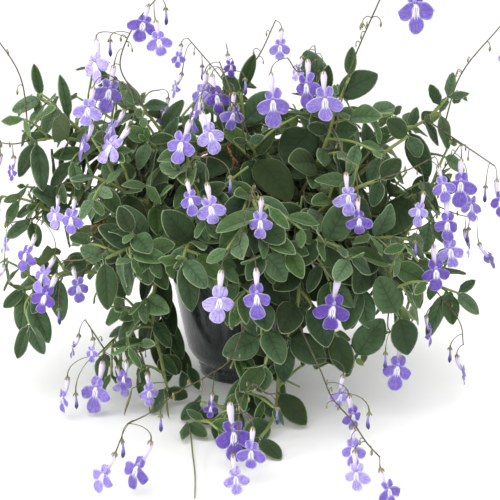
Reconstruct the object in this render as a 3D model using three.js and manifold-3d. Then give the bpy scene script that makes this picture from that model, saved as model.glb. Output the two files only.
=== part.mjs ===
import * as THREE from 'three';
import { mergeVertices } from 'three/addons/utils/BufferGeometryUtils.js';
import Module from 'manifold-3d';

// A trailing cape primrose in a plain nursery pot. Millimetres, Z up.
// The origin is the centre of the pot's flat underside. The photographed side faces -Y.

// Pot and soil
const POT_HEIGHT = 115;
const RIM_RADIUS = 71;
const RIM_BAND = 16;
const FOOT_RADIUS = 40;
const FOOT_BAND = 12;
const POT_WALL = 1.9;
const POT_FLOOR = 2.4;
const FOOT_LEAN = 1.5;
const FOOT_STEP = 3;
const WALL_FLARE = 22.5;
const RIM_STEP = 3.4;
const NECK = POT_HEIGHT - RIM_BAND;
const WALL_FOOT = FOOT_RADIUS + FOOT_STEP;
const WALL_NECK = WALL_FOOT + WALL_FLARE;
// The wall bulges over its foot: radius and height of the two rings where it bends
const BELLY = [[48.5, 21], [53, 34]];
const POT_SIDES = 24;
const DRAIN_HOLES = 4;
const DRAIN_RADIUS = 4;
const DRAIN_RING = 25;
const SOIL_TOP = 98;
const GAP = 0.3;
const SHORTEST_EDGE = 0.02;

// Stems
const STEM_BASE = 2.3;
const STEM_TIP = 1.3;
const SHOOT_BASE = 1.6;
const SHOOT_TIP = 1.1;
const STEM_SIDES = 4;
const SHOOT_SIDES = 3;
const FOOT_DEPTH = 20;
const HOLE_CLEARANCE = 0.4;
const STEPS_PER_SPAN = 2;

// Leaves
const LEAF_LENGTH = 36;
const LEAF_SHAPE = 0.62;
const LEAF_DROOP = 0.42;
const LEAF_THICK = 1.6;
const LEAF_STEP = 28;
const LEAF_TRIES = 14;
const LEAF_OUTLINE = [[0, 0], [0.38, 1], [0.78, 0.8], [1, 0], [0.78, -0.8], [0.38, -1]];
const LEAF_MIDDLE = [0.36, 0];
const LEAF_OFFSET = 0.75;
const STEM_PAIRS = 3;
const SHOOT_PAIRS = 3;
const LEAF_CLEAR = 0.45;
const LEAF_TURN = { spread: 58, spreadRange: 24, widerSpread: 30, angleRange: 34, angleStep: 8 };
const LEAF_LIGHT = { out: 0.85, up: 0.75, side: 0.7, front: 0.2, rise: 0.5 };
const LEAF_SIZES = { least: 0.86, range: 0.28, shrink: 0.028, widthRange: 0.2 };
const LEAF_BEND = { curl: 0.08, curlRange: 0.14, fold: 0.06, foldRange: 0.16 };
const LEAF_FREE = 4.5;
const SHOWN_LIGHT = 0.45;
const SHOWN_CURL = 0.1;
const SHOWN_FOLD = 0.1;

// Flowers, in shares of the flower's width: across, up and forward
const PETAL_TOP = [0, 0.36, -0.03];
const PETAL_LEFT = [
  [-0.12, 0.52, -0.08], [-0.24, 0.41, -0.1], [-0.13, 0.24, -0.02], [-0.42, 0.21, -0.05],
  [-0.45, -0.13, -0.01], [-0.14, -0.08, 0.01], [-0.21, -0.35, 0.06],
];
const PETAL_TIP = [0, -0.53, 0.09];
const THROAT = [[-0.08, 0.2, -0.03], [0, 0.05, -0.03], [0.08, 0.2, -0.03]];
const THROAT_SPANS = [6, 4, 6];
const THROAT_THICK = 0.08;
const TUBE_UP = 0.9;
const TUBE_BACK = 0.38;
const TUBE_TOP = 0.05;
const STALK_RADIUS = 0.75;
const PEDICEL_END = 0.3;
const PEDICEL_FREE = 0.75;
const JOINT_START = 14;
const JOINT_STEP = 4.5;
const BUD_LENGTH = 13;
const BUD_RADIUS = 1.5;
const LOWEST = 0.8;

// The foliage parts here and shows the pot: low and high corner of the open space
const POT_WINDOW = [[-48, -150, 16], [-16, -42, 92]];

// Leafy stems. foot: where it stands in the soil. route: where it passes. shoots: the share of
// the stem where each side shoot leaves it, then where the shoot passes.
const STEMS = {
  crown_left: {
    foot: [-14, 6],
    route: [[-25, 0, 145], [-50, -10, 190], [-70, -20, 221], [-85, -22, 242]],
    shoots: [
      [0.62, [-66, -42, 204], [-76, -60, 215]],
      [0.5, [-92, 30, 205], [-128, 45, 232], [-153, 40, 248]],
    ],
  },
  crown_middle: {
    foot: [-2, 14],
    route: [[-3, 10, 148], [-5, 5, 193], [0, -5, 229], [-2, -10, 254]],
    shoots: [[0.5, [10, -38, 200], [4, -60, 214]], [0.45, [-6, 50, 218], [-14, 82, 246]]],
  },
  crown_right: {
    foot: [13, 10],
    route: [[28, 5, 153], [50, 0, 194], [62, -10, 225], [67, -20, 248]],
    shoots: [[0.5, [58, 42, 214], [66, 74, 236]]],
  },
  inner_right: {
    foot: [22, -8],
    route: [[40, -30, 150], [58, -50, 190], [70, -60, 224], [74, -58, 250]],
  },
  high_left: {
    foot: [-27, 4],
    route: [[-52, 0, 146], [-97, -15, 188], [-137, -25, 222], [-167, -30, 249]],
    shoots: [[0.72, [-150, -44, 216], [-168, -52, 214]]],
  },
  high_right: {
    foot: [27, 4],
    route: [[54, 0, 150], [101, -10, 196], [140, -25, 222], [164, -30, 236]],
  },
  high_right_front: {
    foot: [30, -15],
    route: [[58, -40, 145], [89, -60, 183], [113, -65, 206], [133, -60, 219]],
  },
  mid_left: {
    foot: [-37, -6],
    route: [[-62, -20, 128], [-109, -30, 156], [-150, -33, 168], [-182, -35, 175]],
    shoots: [[0.66, [-150, -54, 158], [-166, -64, 162]]],
  },
  mid_left_front: {
    foot: [-30, -18],
    route: [[-50, -48, 132], [-76, -78, 164], [-97, -85, 181], [-115, -88, 190]],
  },
  front_left: {
    foot: [-14, -27],
    route: [[-19, -60, 138], [-30, -92, 170], [-39, -105, 189], [-46, -110, 197]],
  },
  front_middle: {
    foot: [2, -28],
    route: [[4, -66, 146], [6, -102, 176], [12, -128, 166], [16, -142, 140]],
  },
  front_right: {
    foot: [18, -26],
    route: [[38, -62, 136], [66, -88, 167], [88, -96, 182], [106, -92, 188]],
  },
  mid_right: {
    foot: [39, -3],
    route: [[66, -12, 124], [112, -26, 152], [148, -32, 168], [168, -34, 180]],
  },
  low_left: {
    foot: [-48, -9],
    route: [[-72, -20, 122], [-112, -46, 118], [-150, -60, 106], [-180, -66, 94]],
  },
  low_left_front: {
    foot: [-42, -21],
    route: [[-66, -44, 127], [-75, -84, 134], [-88, -104, 136], [-104, -116, 130]],
    shoots: [[0.6, [-76, -112, 144], [-80, -126, 152]]],
  },
  front_left_low: {
    foot: [-26, -38],
    route: [[-30, -74, 128], [-35, -108, 142], [-40, -130, 142], [-42, -144, 136]],
  },
  front_right_low: {
    foot: [23, -37],
    route: [[36, -74, 128], [56, -108, 142], [70, -126, 142], [78, -138, 136]],
  },
  low_right: {
    foot: [49, -10],
    route: [[74, -20, 125], [116, -36, 117], [150, -46, 104], [172, -52, 88]],
  },
  low_right_front: {
    foot: [41, -22],
    route: [[64, -52, 131], [94, -82, 139], [112, -95, 143], [129, -98, 142]],
    shoots: [[0.6, [109, -106, 122], [120, -110, 84]]],
  },
  hang_front: {
    foot: [8, -46],
    route: [[9, -68, 124], [11, -96, 116], [14, -116, 94], [15, -122, 70]],
    shoots: [[0.72, [20, -127, 68], [17, -132, 52]]],
  },
  hang_front_right: {
    foot: [36, -39],
    route: [[40, -64, 127], [44, -92, 114], [42, -108, 90], [34, -116, 68]],
    shoots: [[0.66, [70, -108, 72], [89, -104, 48]]],
  },
  hang_left: {
    foot: [-39, -33],
    route: [[-48, -60, 125], [-69, -70, 104], [-73, -76, 72], [-67, -82, 42], [-61, -92, 18]],
    shoots: [[0.5, [-98, -64, 62], [-116, -66, 40]]],
  },
  floor_left: {
    foot: [-7, -50],
    route: [
      [-9, -70, 123], [-4, -88, 100], [2, -98, 58], [1, -110, 20], [-14, -126, 9], [-42, -138, 9],
    ],
    shoots: [[0.8, [-20, -112, 12], [-34, -108, 14]]],
  },
  floor_front: {
    foot: [21, -50],
    route: [
      [24, -70, 123], [28, -90, 100], [29, -102, 58], [27, -118, 18], [21, -140, 9], [13, -164, 9],
    ],
  },
  back_left: {
    foot: [-22, 31],
    route: [[-40, 56, 158], [-74, 95, 184], [-108, 128, 166], [-124, 144, 132]],
  },
  back_middle: {
    foot: [0, 38],
    route: [[1, 66, 162], [5, 104, 188], [0, 140, 164], [-5, 154, 126]],
  },
  back_right: {
    foot: [24, 31],
    route: [[42, 56, 158], [78, 95, 184], [112, 126, 166], [128, 140, 132]],
  },
  back_low_left: {
    foot: [-42, 18],
    route: [[-66, 36, 124], [-106, 64, 128], [-138, 84, 98], [-148, 92, 58]],
  },
  back_low_right: {
    foot: [42, 18],
    route: [[66, 36, 124], [108, 64, 128], [140, 84, 98], [150, 90, 62]],
  },
};

// Leaves that the photograph shows whole, by stem. Each row has the axis, pair and member that it is,
// where its tip is, its width as a share of its length, and its face's turn to the right in degrees.
const SHOWN_LEAVES = {
  crown_left: [
    [0, 0, 0, -62, -28, 243, 0.45, 10], [0, 0, 1, -103, -22, 259, 0.5, -10],
    [1, 0, 0, -82, -72, 194, 0.5, -10], [1, 0, 1, -55, -66, 219, 0.45, 20],
  ],
  crown_middle: [
    [0, 0, 0, 9, -12, 282, 0.34, 15], [0, 0, 1, -17, -16, 264, 0.75, -10],
    [0, 1, 0, 25, -12, 251, 0.62, 10], [0, 2, 0, -36, -34, 187, 0.5, -15],
    [1, 0, 0, -7, -64, 220, 0.6, -15], [1, 0, 1, 17, -64, 219, 0.6, 15],
    [1, 1, 0, 40, -68, 172, 0.58, 10],
  ],
  crown_right: [
    [0, 0, 0, 52, -28, 285, 0.6, -5], [0, 0, 1, 70, -32, 273, 0.52, 20],
    [0, 1, 0, 33, -44, 200, 0.66, -5],
  ],
  inner_right: [
    [0, 0, 0, 104, -66, 268, 0.62, 0], [0, 1, 0, 52, -68, 228, 0.62, -10],
    [0, 1, 1, 90, -68, 224, 0.72, 10],
  ],
  high_left: [
    [0, 0, 0, -189, -38, 238, 0.5, -15], [0, 0, 1, -171, -32, 275, 0.34, 20],
    [0, 1, 0, -148, -27, 267, 0.28, 30], [0, 1, 1, -157, -36, 213, 0.5, -10],
    [1, 0, 0, -182, -58, 186, 0.45, -15], [1, 0, 1, -157, -62, 177, 0.34, 20],
  ],
  mid_left_front: [[0, 1, 0, -77, -98, 149, 0.55, 10]],
  low_left_front: [
    [1, 0, 0, -89, -129, 172, 0.58, -10], [0, 0, 0, -121, -121, 139, 0.7, -15],
    [0, 0, 1, -99, -126, 94, 0.45, 0],
  ],
  low_left: [
    [0, 2, 0, -147, -63, 115, 0.62, -10], [0, 0, 0, -196, -72, 80, 0.5, -10],
    [0, 0, 1, -181, -76, 61, 0.45, 0], [0, 1, 0, -151, -68, 67, 0.4, 10],
    [0, 1, 1, -172, -80, 79, 0.5, -10],
  ],
  hang_left: [
    [1, 1, 0, -111, -70, 51, 0.4, 0], [0, 1, 0, -54, -84, 24, 0.4, 20],
    [0, 2, 0, -58, -78, 46, 0.45, 10],
  ],
  front_left_low: [[0, 0, 0, -34, -145, 98, 0.42, 10]],
  hang_front: [
    [0, 0, 0, -14, -130, 60, 0.68, -15], [0, 0, 1, 35, -130, 64, 0.6, 15],
    [1, 0, 0, 14, -136, 23, 0.68, 0], [1, 0, 1, -1, -128, 35, 0.6, -20],
  ],
  hang_front_right: [
    [0, 0, 0, 65, -122, 54, 0.66, 10], [0, 0, 1, 30, -114, 32, 0.45, 0],
    [0, 2, 0, 30, -106, 80, 0.5, 0], [1, 2, 0, 60, -116, 69, 0.55, 10],
    [1, 1, 0, 82, -114, 38, 0.55, 0], [1, 0, 0, 107, -112, 82, 0.6, 10],
  ],
  low_right_front: [
    [1, 0, 0, 129, -118, 56, 0.74, 10], [1, 0, 1, 102, -112, 116, 0.62, -10],
    [1, 1, 0, 128, -114, 100, 0.7, 10],
  ],
  low_right: [[0, 0, 0, 178, -60, 62, 0.55, 10], [0, 0, 1, 153, -62, 51, 0.3, 0]],
  mid_right: [[0, 1, 0, 118, -56, 140, 0.62, -10], [0, 0, 0, 130, -54, 160, 0.6, -5]],
  front_right: [
    [0, 0, 0, 119, -96, 204, 0.7, 10], [0, 0, 1, 100, -100, 168, 0.55, -5],
    [0, 1, 0, 73, -106, 143, 0.5, -10],
  ],
  high_right: [
    [0, 0, 0, 172, -38, 207, 0.38, 20], [0, 0, 1, 169, -30, 249, 0.5, 10],
    [0, 1, 0, 154, -34, 182, 0.45, -20], [0, 1, 1, 146, -26, 240, 0.5, 10],
  ],
  high_right_front: [
    [0, 0, 0, 114, -66, 231, 0.75, -10], [0, 0, 1, 141, -70, 204, 0.75, 10],
    [0, 1, 0, 99, -74, 182, 0.5, -10],
  ],
  floor_left: [
    [0, 2, 0, -25, -130, 2, 0.55, 0], [0, 0, 0, -26, -152, 2, 0.5, 10],
    [0, 0, 1, -44, -157, 2, 0.4, -10],
  ],
  floor_front: [
    [0, 2, 0, 30, -130, 2, 0.5, 0], [0, 2, 1, 43, -118, 12, 0.5, 20],
    [0, 1, 0, 11, -160, 2, 0.6, -10],
  ],
};

// Flower sprays. on: stem, axis (0 is the stem, 1 its first side shoot) and the share along it.
// Each stalk has a route, flowers as [x, y, z, width, turn, tilt, lean] and buds as [x, y, z].
// Turn, tilt and lean are degrees: to the right, upward, and about the way that the flower faces.
const SPRAYS = {
  crown_left: { on: ['crown_left', 0, 0.93], stalks: [
    { route: [[-92, -34, 256], [-98, -44, 276], [-86, -44, 304], [-66, -46, 326]],
      flowers: [[-76, -60, 297, 24, -6, 0, 4], [-64, -68, 286, 22, 12, -6, -4],
        [-112, -62, 270, 26, -34, -8, -20],
        [-106, -70, 250, 24, -8, -8, 4]],
      buds: [[-104, -48, 280], [-60, -50, 304]] },
    { route: [[-94, -54, 248], [-104, -76, 262]],
      flowers: [[-113, -94, 234, 24, -12, -6, 0], [-118, -98, 210, 22, -50, -6, 0],
        [-99, -82, 222, 20, -60, 0, 14],
        [-96, -100, 209, 24, -62, 0, 30]],
      buds: [[-106, -86, 200]] },
    { route: [[-80, -6, 252], [-72, 6, 254]], flowers: [[-68, 14, 229, 19, -20, -8, 0]] }] },
  crown_middle: { on: ['crown_middle', 0, 0.93], stalks: [
    { route: [[-22, 8, 268], [-48, 16, 298]],
      flowers: [[-56, 18, 278, 16, -20, -6, 0], [-60, 20, 254, 16, -70, 0, 0]],
      buds: [[-36, 18, 262]] },
    { route: [[-12, -4, 276], [-14, -8, 292]], flowers: [[-10, -16, 270, 15, 30, 0, 0]] },
    { route: [[12, -18, 280], [27, -24, 310]], flowers: [[31, -32, 284, 20, -8, -6, 0]] }] },
  crown_front: { on: ['crown_middle', 1, 0.9], stalks: [
    { route: [[-6, -62, 246], [-18, -56, 276]],
      flowers: [[-34, -60, 248, 22, -24, -4, 6], [-19, -62, 246, 22, 20, -2, -6],
        [-6, -76, 234, 19, 4, -12, 0]],
      buds: [[2, -60, 250]] }] },
  crown_right: { on: ['crown_right', 0, 0.9], stalks: [
    { route: [[60, -44, 266], [56, -64, 288]],
      flowers: [[42, -58, 268, 14, -50, 6, 0], [48, -86, 256, 24, -10, 4, 0],
        [63, -96, 246, 25, 8, 4, 0]] },
    { route: [[44, -60, 268], [34, -84, 278]], flowers: [[25, -98, 242, 27, 0, -4, -8]] }] },
  front_left_high: { on: ['crown_middle', 1, 0.6], stalks: [
    { route: [[-10, -82, 240], [-28, -98, 260]],
      flowers: [[-42, -104, 232, 22, -62, 0, 34], [-46, -120, 212, 23, -18, -4, 6],
        [-26, -118, 217, 24, 6, -6, -6]] }] },
  front_left: { on: ['front_left', 0, 0.9], stalks: [
    { route: [[-36, -124, 206], [-24, -130, 208]],
      flowers: [[-38, -142, 176, 18, -12, -6, -6], [-21, -144, 171, 21, 8, -6, -8]],
      buds: [[-8, -136, 182]] }] },
  front_middle: { on: ['front_middle', 0, 0.72], stalks: [
    { route: [[8, -150, 188], [-2, -158, 150]],
      flowers: [[14, -154, 163, 20, 2, -14, 0], [-13, -166, 110, 24, -4, -4, -4],
        [11, -168, 111, 25, 6, -4, 0]] }] },
  inner_right: { on: ['inner_right', 0, 0.85], stalks: [
    { route: [[72, -92, 220], [74, -118, 208]],
      flowers: [[73, -132, 178, 20, -8, -4, 4], [86, -136, 160, 20, 12, -4, -4]] },
    { route: [[80, -90, 268], [92, -140, 312], [100, -176, 338]],
      flowers: [[104, -188, 302, 27, 6, -10, 0]] }] },
  front_right_low: { on: ['front_right_low', 0, 0.62], stalks: [
    { route: [[50, -134, 134], [61, -140, 130]], flowers: [[68, -150, 99, 26, 0, -4, 4]] }] },
  right_high: { on: ['mid_right', 0, 0.96], stalks: [
    { route: [[172, -66, 212]], flowers: [[168, -90, 177, 27, 2, -4, 4],
        [182, -72, 160, 22, 24, -6, 0]] }] },
  right_middle: { on: ['front_right', 0, 0.96], stalks: [
    { route: [[126, -98, 196], [144, -102, 206]],
      flowers: [[147, -110, 180, 21, -14, -4, -6], [132, -114, 164, 18, -30, 0, 0],
        [154, -122, 155, 22, 4, 4, 0]] }] },
  right_low: { on: ['low_right_front', 0, 0.95], stalks: [
    { route: [[138, -104, 154], [148, -108, 166]],
      flowers: [[158, -120, 134, 24, 14, -4, -14], [139, -128, 120, 24, -8, -4, 4]],
      buds: [[128, -120, 132]] }] },
  right_edge: { on: ['mid_right', 0, 0.86], stalks: [
    { route: [[184, -30, 150], [198, -36, 150]],
      flowers: [[194, -48, 124, 20, 60, 0, -20], [206, -40, 110, 20, 110, 0, 0]],
      buds: [[186, -54, 130]] }] },
  right_long: { on: ['high_right', 0, 0.95], stalks: [
    { route: [[174, -50, 214], [198, -74, 196]], flowers: [[201, -84, 165, 22, 20, -6, 0]],
      buds: [[190, -80, 168]] },
    { route: [[172, -56, 266], [194, -80, 302]], flowers: [[198, -90, 274, 20, 20, -10, 0]] }] },
  right_bottom: { on: ['low_right_front', 1, 0.9], stalks: [
    { route: [[112, -112, 76], [118, -110, 70]], flowers: [[122, -114, 39, 25, 4, -4, 6]],
      buds: [[110, -116, 44]] }] },
  right_side: { on: ['low_right', 0, 0.95], stalks: [
    { route: [[180, -64, 66], [184, -66, 46]], flowers: [[186, -68, 20, 19, 76, 0, 0]],
      buds: [[172, -70, 32]] },
    { route: [[166, -62, 82]], flowers: [[156, -66, 54, 18, 60, -10, 0]] }] },
  trail_right: { on: ['hang_front_right', 0, 0.9], stalks: [
    { route: [[58, -140, 52], [64, -168, 42], [74, -196, 38], [80, -226, 36], [86, -242, 34]],
      flowers: [[78, -132, 26, 18, 30, 0, 10], [80, -156, 20, 18, 14, 0, 0],
        [76, -204, 16, 19, 6, 0, 0],
        [74, -234, 15, 18, 10, 0, 0], [88, -252, 14, 16, 20, 0, 0]],
      buds: [[92, -160, 14]] }] },
  trail_front: { on: ['floor_front', 0, 0.72], stalks: [
    { route: [[18, -146, 36], [8, -168, 52], [0, -196, 50], [-2, -230, 38]],
      flowers: [[-7, -190, 20, 26, -4, 0, -4], [9, -212, 17, 21, 8, 0, 0], [-5, -240, 15, 18, 0, 0, 0]],
      buds: [[26, -156, 16]] }] },
  trail_left: { on: ['hang_front', 0, 0.7], stalks: [
    { route: [[-6, -132, 62], [-24, -144, 50], [-46, -158, 42], [-60, -186, 40], [-74, -212, 42]],
      flowers: [[-68, -226, 17, 22, -40, 0, 20], [-88, -236, 16, 20, -44, 0, 20],
        [-22, -132, 16, 14, 6, 0, 0]],
      buds: [[-58, -164, 14], [-80, -200, 12]] }] },
  low_left_front: { on: ['hang_left', 1, 0.8], stalks: [
    { route: [[-118, -86, 44], [-122, -94, 46]],
      flowers: [[-112, -108, 20, 26, -6, 0, 0], [-98, -98, 20, 19, 24, 0, 0],
        [-144, -112, 16, 20, -64, 0, 0]],
      buds: [[-130, -114, 10]] },
    { route: [[-128, -78, 72]], flowers: [[-137, -86, 48, 14, -60, 0, 0],
        [-122, -92, 48, 14, -30, 0, 0]] }] },
  low_left_pale: { on: ['hang_left', 0, 0.78], stalks: [
    { route: [[-86, -98, 50]], flowers: [[-74, -116, 20, 20, 6, 0, 0],
        [-92, -110, 30, 18, -14, -4, 0]] }] },
  left_middle: { on: ['low_left_front', 0, 0.95], stalks: [
    { route: [[-116, -122, 132], [-134, -118, 130]],
      flowers: [[-142, -128, 98, 24, -16, -4, 4], [-126, -114, 104, 20, 24, -4, 0]],
      buds: [[-140, -112, 78]] }] },
  left_upper: { on: ['mid_left', 1, 0.9], stalks: [
    { route: [[-162, -80, 152]],
      flowers: [[-169, -90, 124, 22, -44, -4, 10], [-154, -96, 108, 22, -30, -4, 14]] },
    { route: [[-180, -76, 152], [-190, -74, 150]],
      flowers: [[-194, -62, 128, 16, -70, 0, 0], [-196, -84, 104, 20, -76, 0, 24]] }] },
  left_inner: { on: ['mid_left_front', 0, 0.9], stalks: [
    { route: [[-126, -98, 186]], flowers: [[-131, -106, 156, 21, -8, -4, 10],
        [-146, -92, 158, 18, -30, 0, 0]] }] },
  left_edge: { on: ['high_left', 1, 0.9], stalks: [
    { route: [[-182, -56, 212], [-198, -60, 214]],
      flowers: [[-201, -60, 186, 20, -50, 0, 0], [-186, -66, 190, 14, -40, 0, 0],
        [-208, -68, 166, 18, -60, 0, 0]] },
    { route: [[-176, -52, 264], [-196, -60, 302]], flowers: [[-204, -66, 276, 20, -60, 0, 0]] }] },
  back_left: { on: ['back_left', 0, 0.9], stalks: [
    { route: [[-124, 160, 150], [-130, 170, 152]],
      flowers: [[-140, 174, 122, 24, -140, -6, 4], [-118, 184, 113, 24, -160, -6, -4]] }] },
  back_middle: { on: ['back_middle', 0, 0.85], stalks: [
    { route: [[-4, 168, 152], [-8, 176, 154]],
      flowers: [[-20, 186, 124, 25, 172, -6, 0], [8, 188, 115, 24, 190, -6, 0]] }] },
  back_right: { on: ['back_right', 0, 0.9], stalks: [
    { route: [[132, 156, 150], [138, 166, 152]],
      flowers: [[149, 170, 122, 24, 140, -6, 0], [126, 182, 113, 24, 160, -6, 0]] }] },
  back_high: { on: ['crown_middle', 2, 0.9], stalks: [
    { route: [[-20, 98, 268], [-26, 108, 276]],
      flowers: [[-38, 114, 248, 23, 190, -6, 0], [-12, 120, 242, 23, 170, -6, 0]] }] },
};

const UP = new THREE.Vector3(0, 0, 1);
const wasm = await Module();
wasm.setup();

// Small moves that a stalk, flower, bud or leaf may make to stay clear of its neighbours
const SHIFTS = [
  [0, 0, 0], [0, -4, 0], [0, 0, 4], [0, 4, 0], [4, 0, 0], [-4, 0, 0], [0, -8, 0], [0, 0, -4],
  [0, -8, 5], [6, -6, 0], [-6, -6, 0], [0, -13, 0], [0, 0, 9], [8, 0, 6], [-8, 0, 6], [0, -18, 4],
].map(vector);

const placed = [];

function vector(xyz) {
  return new THREE.Vector3(...xyz);
}

function radians(degrees) {
  return THREE.MathUtils.degToRad(degrees);
}

// Random numbers from 0 to 1 that are the same each run
function draws(...seeds) {
  let state = seeds.reduce((sum, seed) => (sum * 7919 + seed + 1) % 2147483647, 17) || 1;
  const next = () => {
    state = (state * 48271) % 2147483647;
    return state / 2147483647;
  };
  next();
  return next;
}

function closedSolid(points, faces) {
  const mesh = new wasm.Mesh({
    numProp: 3,
    vertProperties: new Float32Array(points.flatMap((p) => [p.x, p.y, p.z])),
    triVerts: new Uint32Array(faces.flat()),
  });
  return new wasm.Manifold(mesh);
}

function solidOf(geometry) {
  geometry.deleteAttribute('normal');
  geometry.deleteAttribute('uv');
  const merged = mergeVertices(geometry, 1e-4);
  const mesh = new wasm.Mesh({
    numProp: 3,
    vertProperties: new Float32Array(merged.attributes.position.array),
    triVerts: new Uint32Array(merged.index.array),
  });
  mesh.merge();
  return new wasm.Manifold(mesh);
}

// Pieces joined to one body, without edges too short to matter
function fuse(pieces) {
  return pieces.reduce((sum, piece) => sum.add(piece)).simplify(SHORTEST_EDGE);
}

// A tapered rod along points
function rod(points, radii, sides) {
  const rings = [];
  let normal = null;
  points.forEach((point, i) => {
    const before = points[Math.max(i - 1, 0)];
    const after = points[Math.min(i + 1, points.length - 1)];
    const along = after.clone().sub(before).normalize();
    if (!normal) {
      normal = Math.abs(along.x) > 0.9 ? new THREE.Vector3(0, 1, 0) : new THREE.Vector3(1, 0, 0);
    }
    normal.addScaledVector(along, -normal.dot(along)).normalize();
    const across = along.clone().cross(normal);
    for (let k = 0; k < sides; k += 1) {
      const angle = (2 * Math.PI * k) / sides;
      rings.push(point.clone()
        .addScaledVector(normal, radii[i] * Math.cos(angle))
        .addScaledVector(across, radii[i] * Math.sin(angle)));
    }
  });
  const faces = [];
  for (let i = 0; i + 1 < points.length; i += 1) {
    for (let k = 0; k < sides; k += 1) {
      const a = i * sides + k;
      const b = i * sides + ((k + 1) % sides);
      faces.push([a, b, a + sides], [b, b + sides, a + sides]);
    }
  }
  const last = (points.length - 1) * sides;
  for (let k = 1; k + 1 < sides; k += 1) {
    faces.push([0, k + 1, k], [last, last + k, last + k + 1]);
  }
  return closedSolid(rings, faces);
}

// A closed blade: a ring of points with a sharp edge, thickest at its middle point
function blade(ring, middle, normal, thick) {
  const count = ring.length;
  const top = middle.clone().addScaledVector(normal, thick / 2);
  const under = middle.clone().addScaledVector(normal, -thick / 2);
  const faces = [];
  for (let k = 0; k < count; k += 1) {
    const next = (k + 1) % count;
    faces.push([k, next, count], [next, k, count + 1]);
  }
  return closedSolid([...ring, top, under], faces);
}

function curvePoints(route, spanSteps) {
  const curve = new THREE.CatmullRomCurve3(route, false, 'catmullrom', 0.5);
  return curve.getPoints((route.length - 1) * spanSteps);
}

// The place and heading at a distance along a line of points
function along(points, distance) {
  let rest = distance;
  for (let i = 0; i + 1 < points.length; i += 1) {
    const span = points[i].distanceTo(points[i + 1]);
    if (rest <= span || i + 2 === points.length) {
      return {
        point: points[i].clone().lerp(points[i + 1], rest / span),
        heading: points[i + 1].clone().sub(points[i]).normalize(),
      };
    }
    rest -= span;
  }
  return null;
}

function lengthOf(points) {
  return points.slice(1).reduce((sum, p, i) => sum + p.distanceTo(points[i]), 0);
}

function taper(points, base, tip) {
  return points.map((_, i) => base + ((tip - base) * i) / (points.length - 1));
}

function radiusAt(axis, share) {
  const [base, tip] = axis === 0 ? [STEM_BASE, STEM_TIP] : [SHOOT_BASE, SHOOT_TIP];
  return base + (tip - base) * share;
}

// How far a stem's flats stand off its centre line at a share of its length
function flatRadius(axis, share) {
  const sides = axis === 0 ? STEM_SIDES : SHOOT_SIDES;
  return radiusAt(axis, share) * Math.cos(Math.PI / sides);
}

function keep(owner, solid, kind = 'body') {
  placed.push({ owner, solid, kind, box: solid.boundingBox() });
}

function boxesMeet(a, b) {
  return [0, 1, 2].every((i) => a.min[i] < b.max[i] && b.min[i] < a.max[i]);
}

// Whether a solid is clear of what is placed, apart from an owner's own solids of a kind
function isClear(solid, owner = null, kind = null) {
  const box = solid.boundingBox();
  return placed.every((other) => {
    const own = other.owner === owner && (kind === null || other.kind === kind);
    if (own || !boxesMeet(box, other.box)) {
      return true;
    }
    return solid.intersect(other.solid).isEmpty();
  });
}

function lathed(profile) {
  const points = profile.map(([r, z]) => new THREE.Vector2(r, z));
  return solidOf(new THREE.LatheGeometry(points, POT_SIDES).rotateX(Math.PI / 2));
}

// The bends of the wall at a distance inside its outer face
function bellyInside(depth) {
  return BELLY.map(([r, z]) => [r - depth, z + 1]);
}

function makePot() {
  let pot = lathed([
    [0, 0], [FOOT_RADIUS, 0], [FOOT_RADIUS + FOOT_LEAN, FOOT_BAND], [WALL_FOOT, FOOT_BAND + 1],
    ...BELLY, [WALL_NECK, NECK - 1], [WALL_NECK + RIM_STEP, NECK], [RIM_RADIUS, POT_HEIGHT],
    [RIM_RADIUS - POT_WALL, POT_HEIGHT], [WALL_NECK + RIM_STEP - POT_WALL, NECK + 2],
    [WALL_NECK - POT_WALL, NECK + 0.6], ...bellyInside(POT_WALL).reverse(),
    [WALL_FOOT - POT_WALL, FOOT_BAND + 2], [FOOT_RADIUS - POT_WALL, POT_FLOOR], [0, POT_FLOOR],
  ]);
  for (let i = 0; i < DRAIN_HOLES; i += 1) {
    const angle = (2 * Math.PI * (i + 0.5)) / DRAIN_HOLES;
    const [x, y] = [DRAIN_RING * Math.cos(angle), DRAIN_RING * Math.sin(angle)];
    const hole = new THREE.CylinderGeometry(DRAIN_RADIUS, DRAIN_RADIUS, 4 * POT_FLOOR, 8);
    pot = pot.subtract(solidOf(hole.rotateX(Math.PI / 2).translate(x, y, POT_FLOOR / 2)));
  }
  return pot;
}

function makeSoil() {
  const bottom = POT_FLOOR + GAP;
  const depth = POT_WALL + 2 * GAP;
  const belly = bellyInside(depth);
  const [[widest, high]] = belly.slice(-1);
  const end = widest + ((WALL_NECK - depth - widest) * (SOIL_TOP - high)) / (NECK - high);
  let soil = lathed([
    [0, bottom], [FOOT_RADIUS - depth, bottom], [WALL_FOOT - depth, FOOT_BAND + 2], ...belly,
    [end, SOIL_TOP], [0, SOIL_TOP],
  ]);
  const radius = STEM_BASE + HOLE_CLEARANCE;
  Object.values(STEMS).forEach(({ foot }) => {
    const ends = [SOIL_TOP - FOOT_DEPTH - GAP, SOIL_TOP + 3].map((z) => vector([...foot, z]));
    soil = soil.subtract(rod(ends, [radius, radius], STEM_SIDES));
  });
  return soil;
}

// The centre lines of a stem and its side shoots
function axesOf(stem) {
  const start = vector([...stem.foot, SOIL_TOP + 2]);
  const main = curvePoints([start, ...stem.route.map(vector)], STEPS_PER_SPAN);
  const axes = [main];
  (stem.shoots || []).forEach(([share, ...route]) => {
    const { point } = along(main, share * lengthOf(main));
    axes.push(curvePoints([point, ...route.map(vector)], STEPS_PER_SPAN));
  });
  return axes;
}

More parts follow.
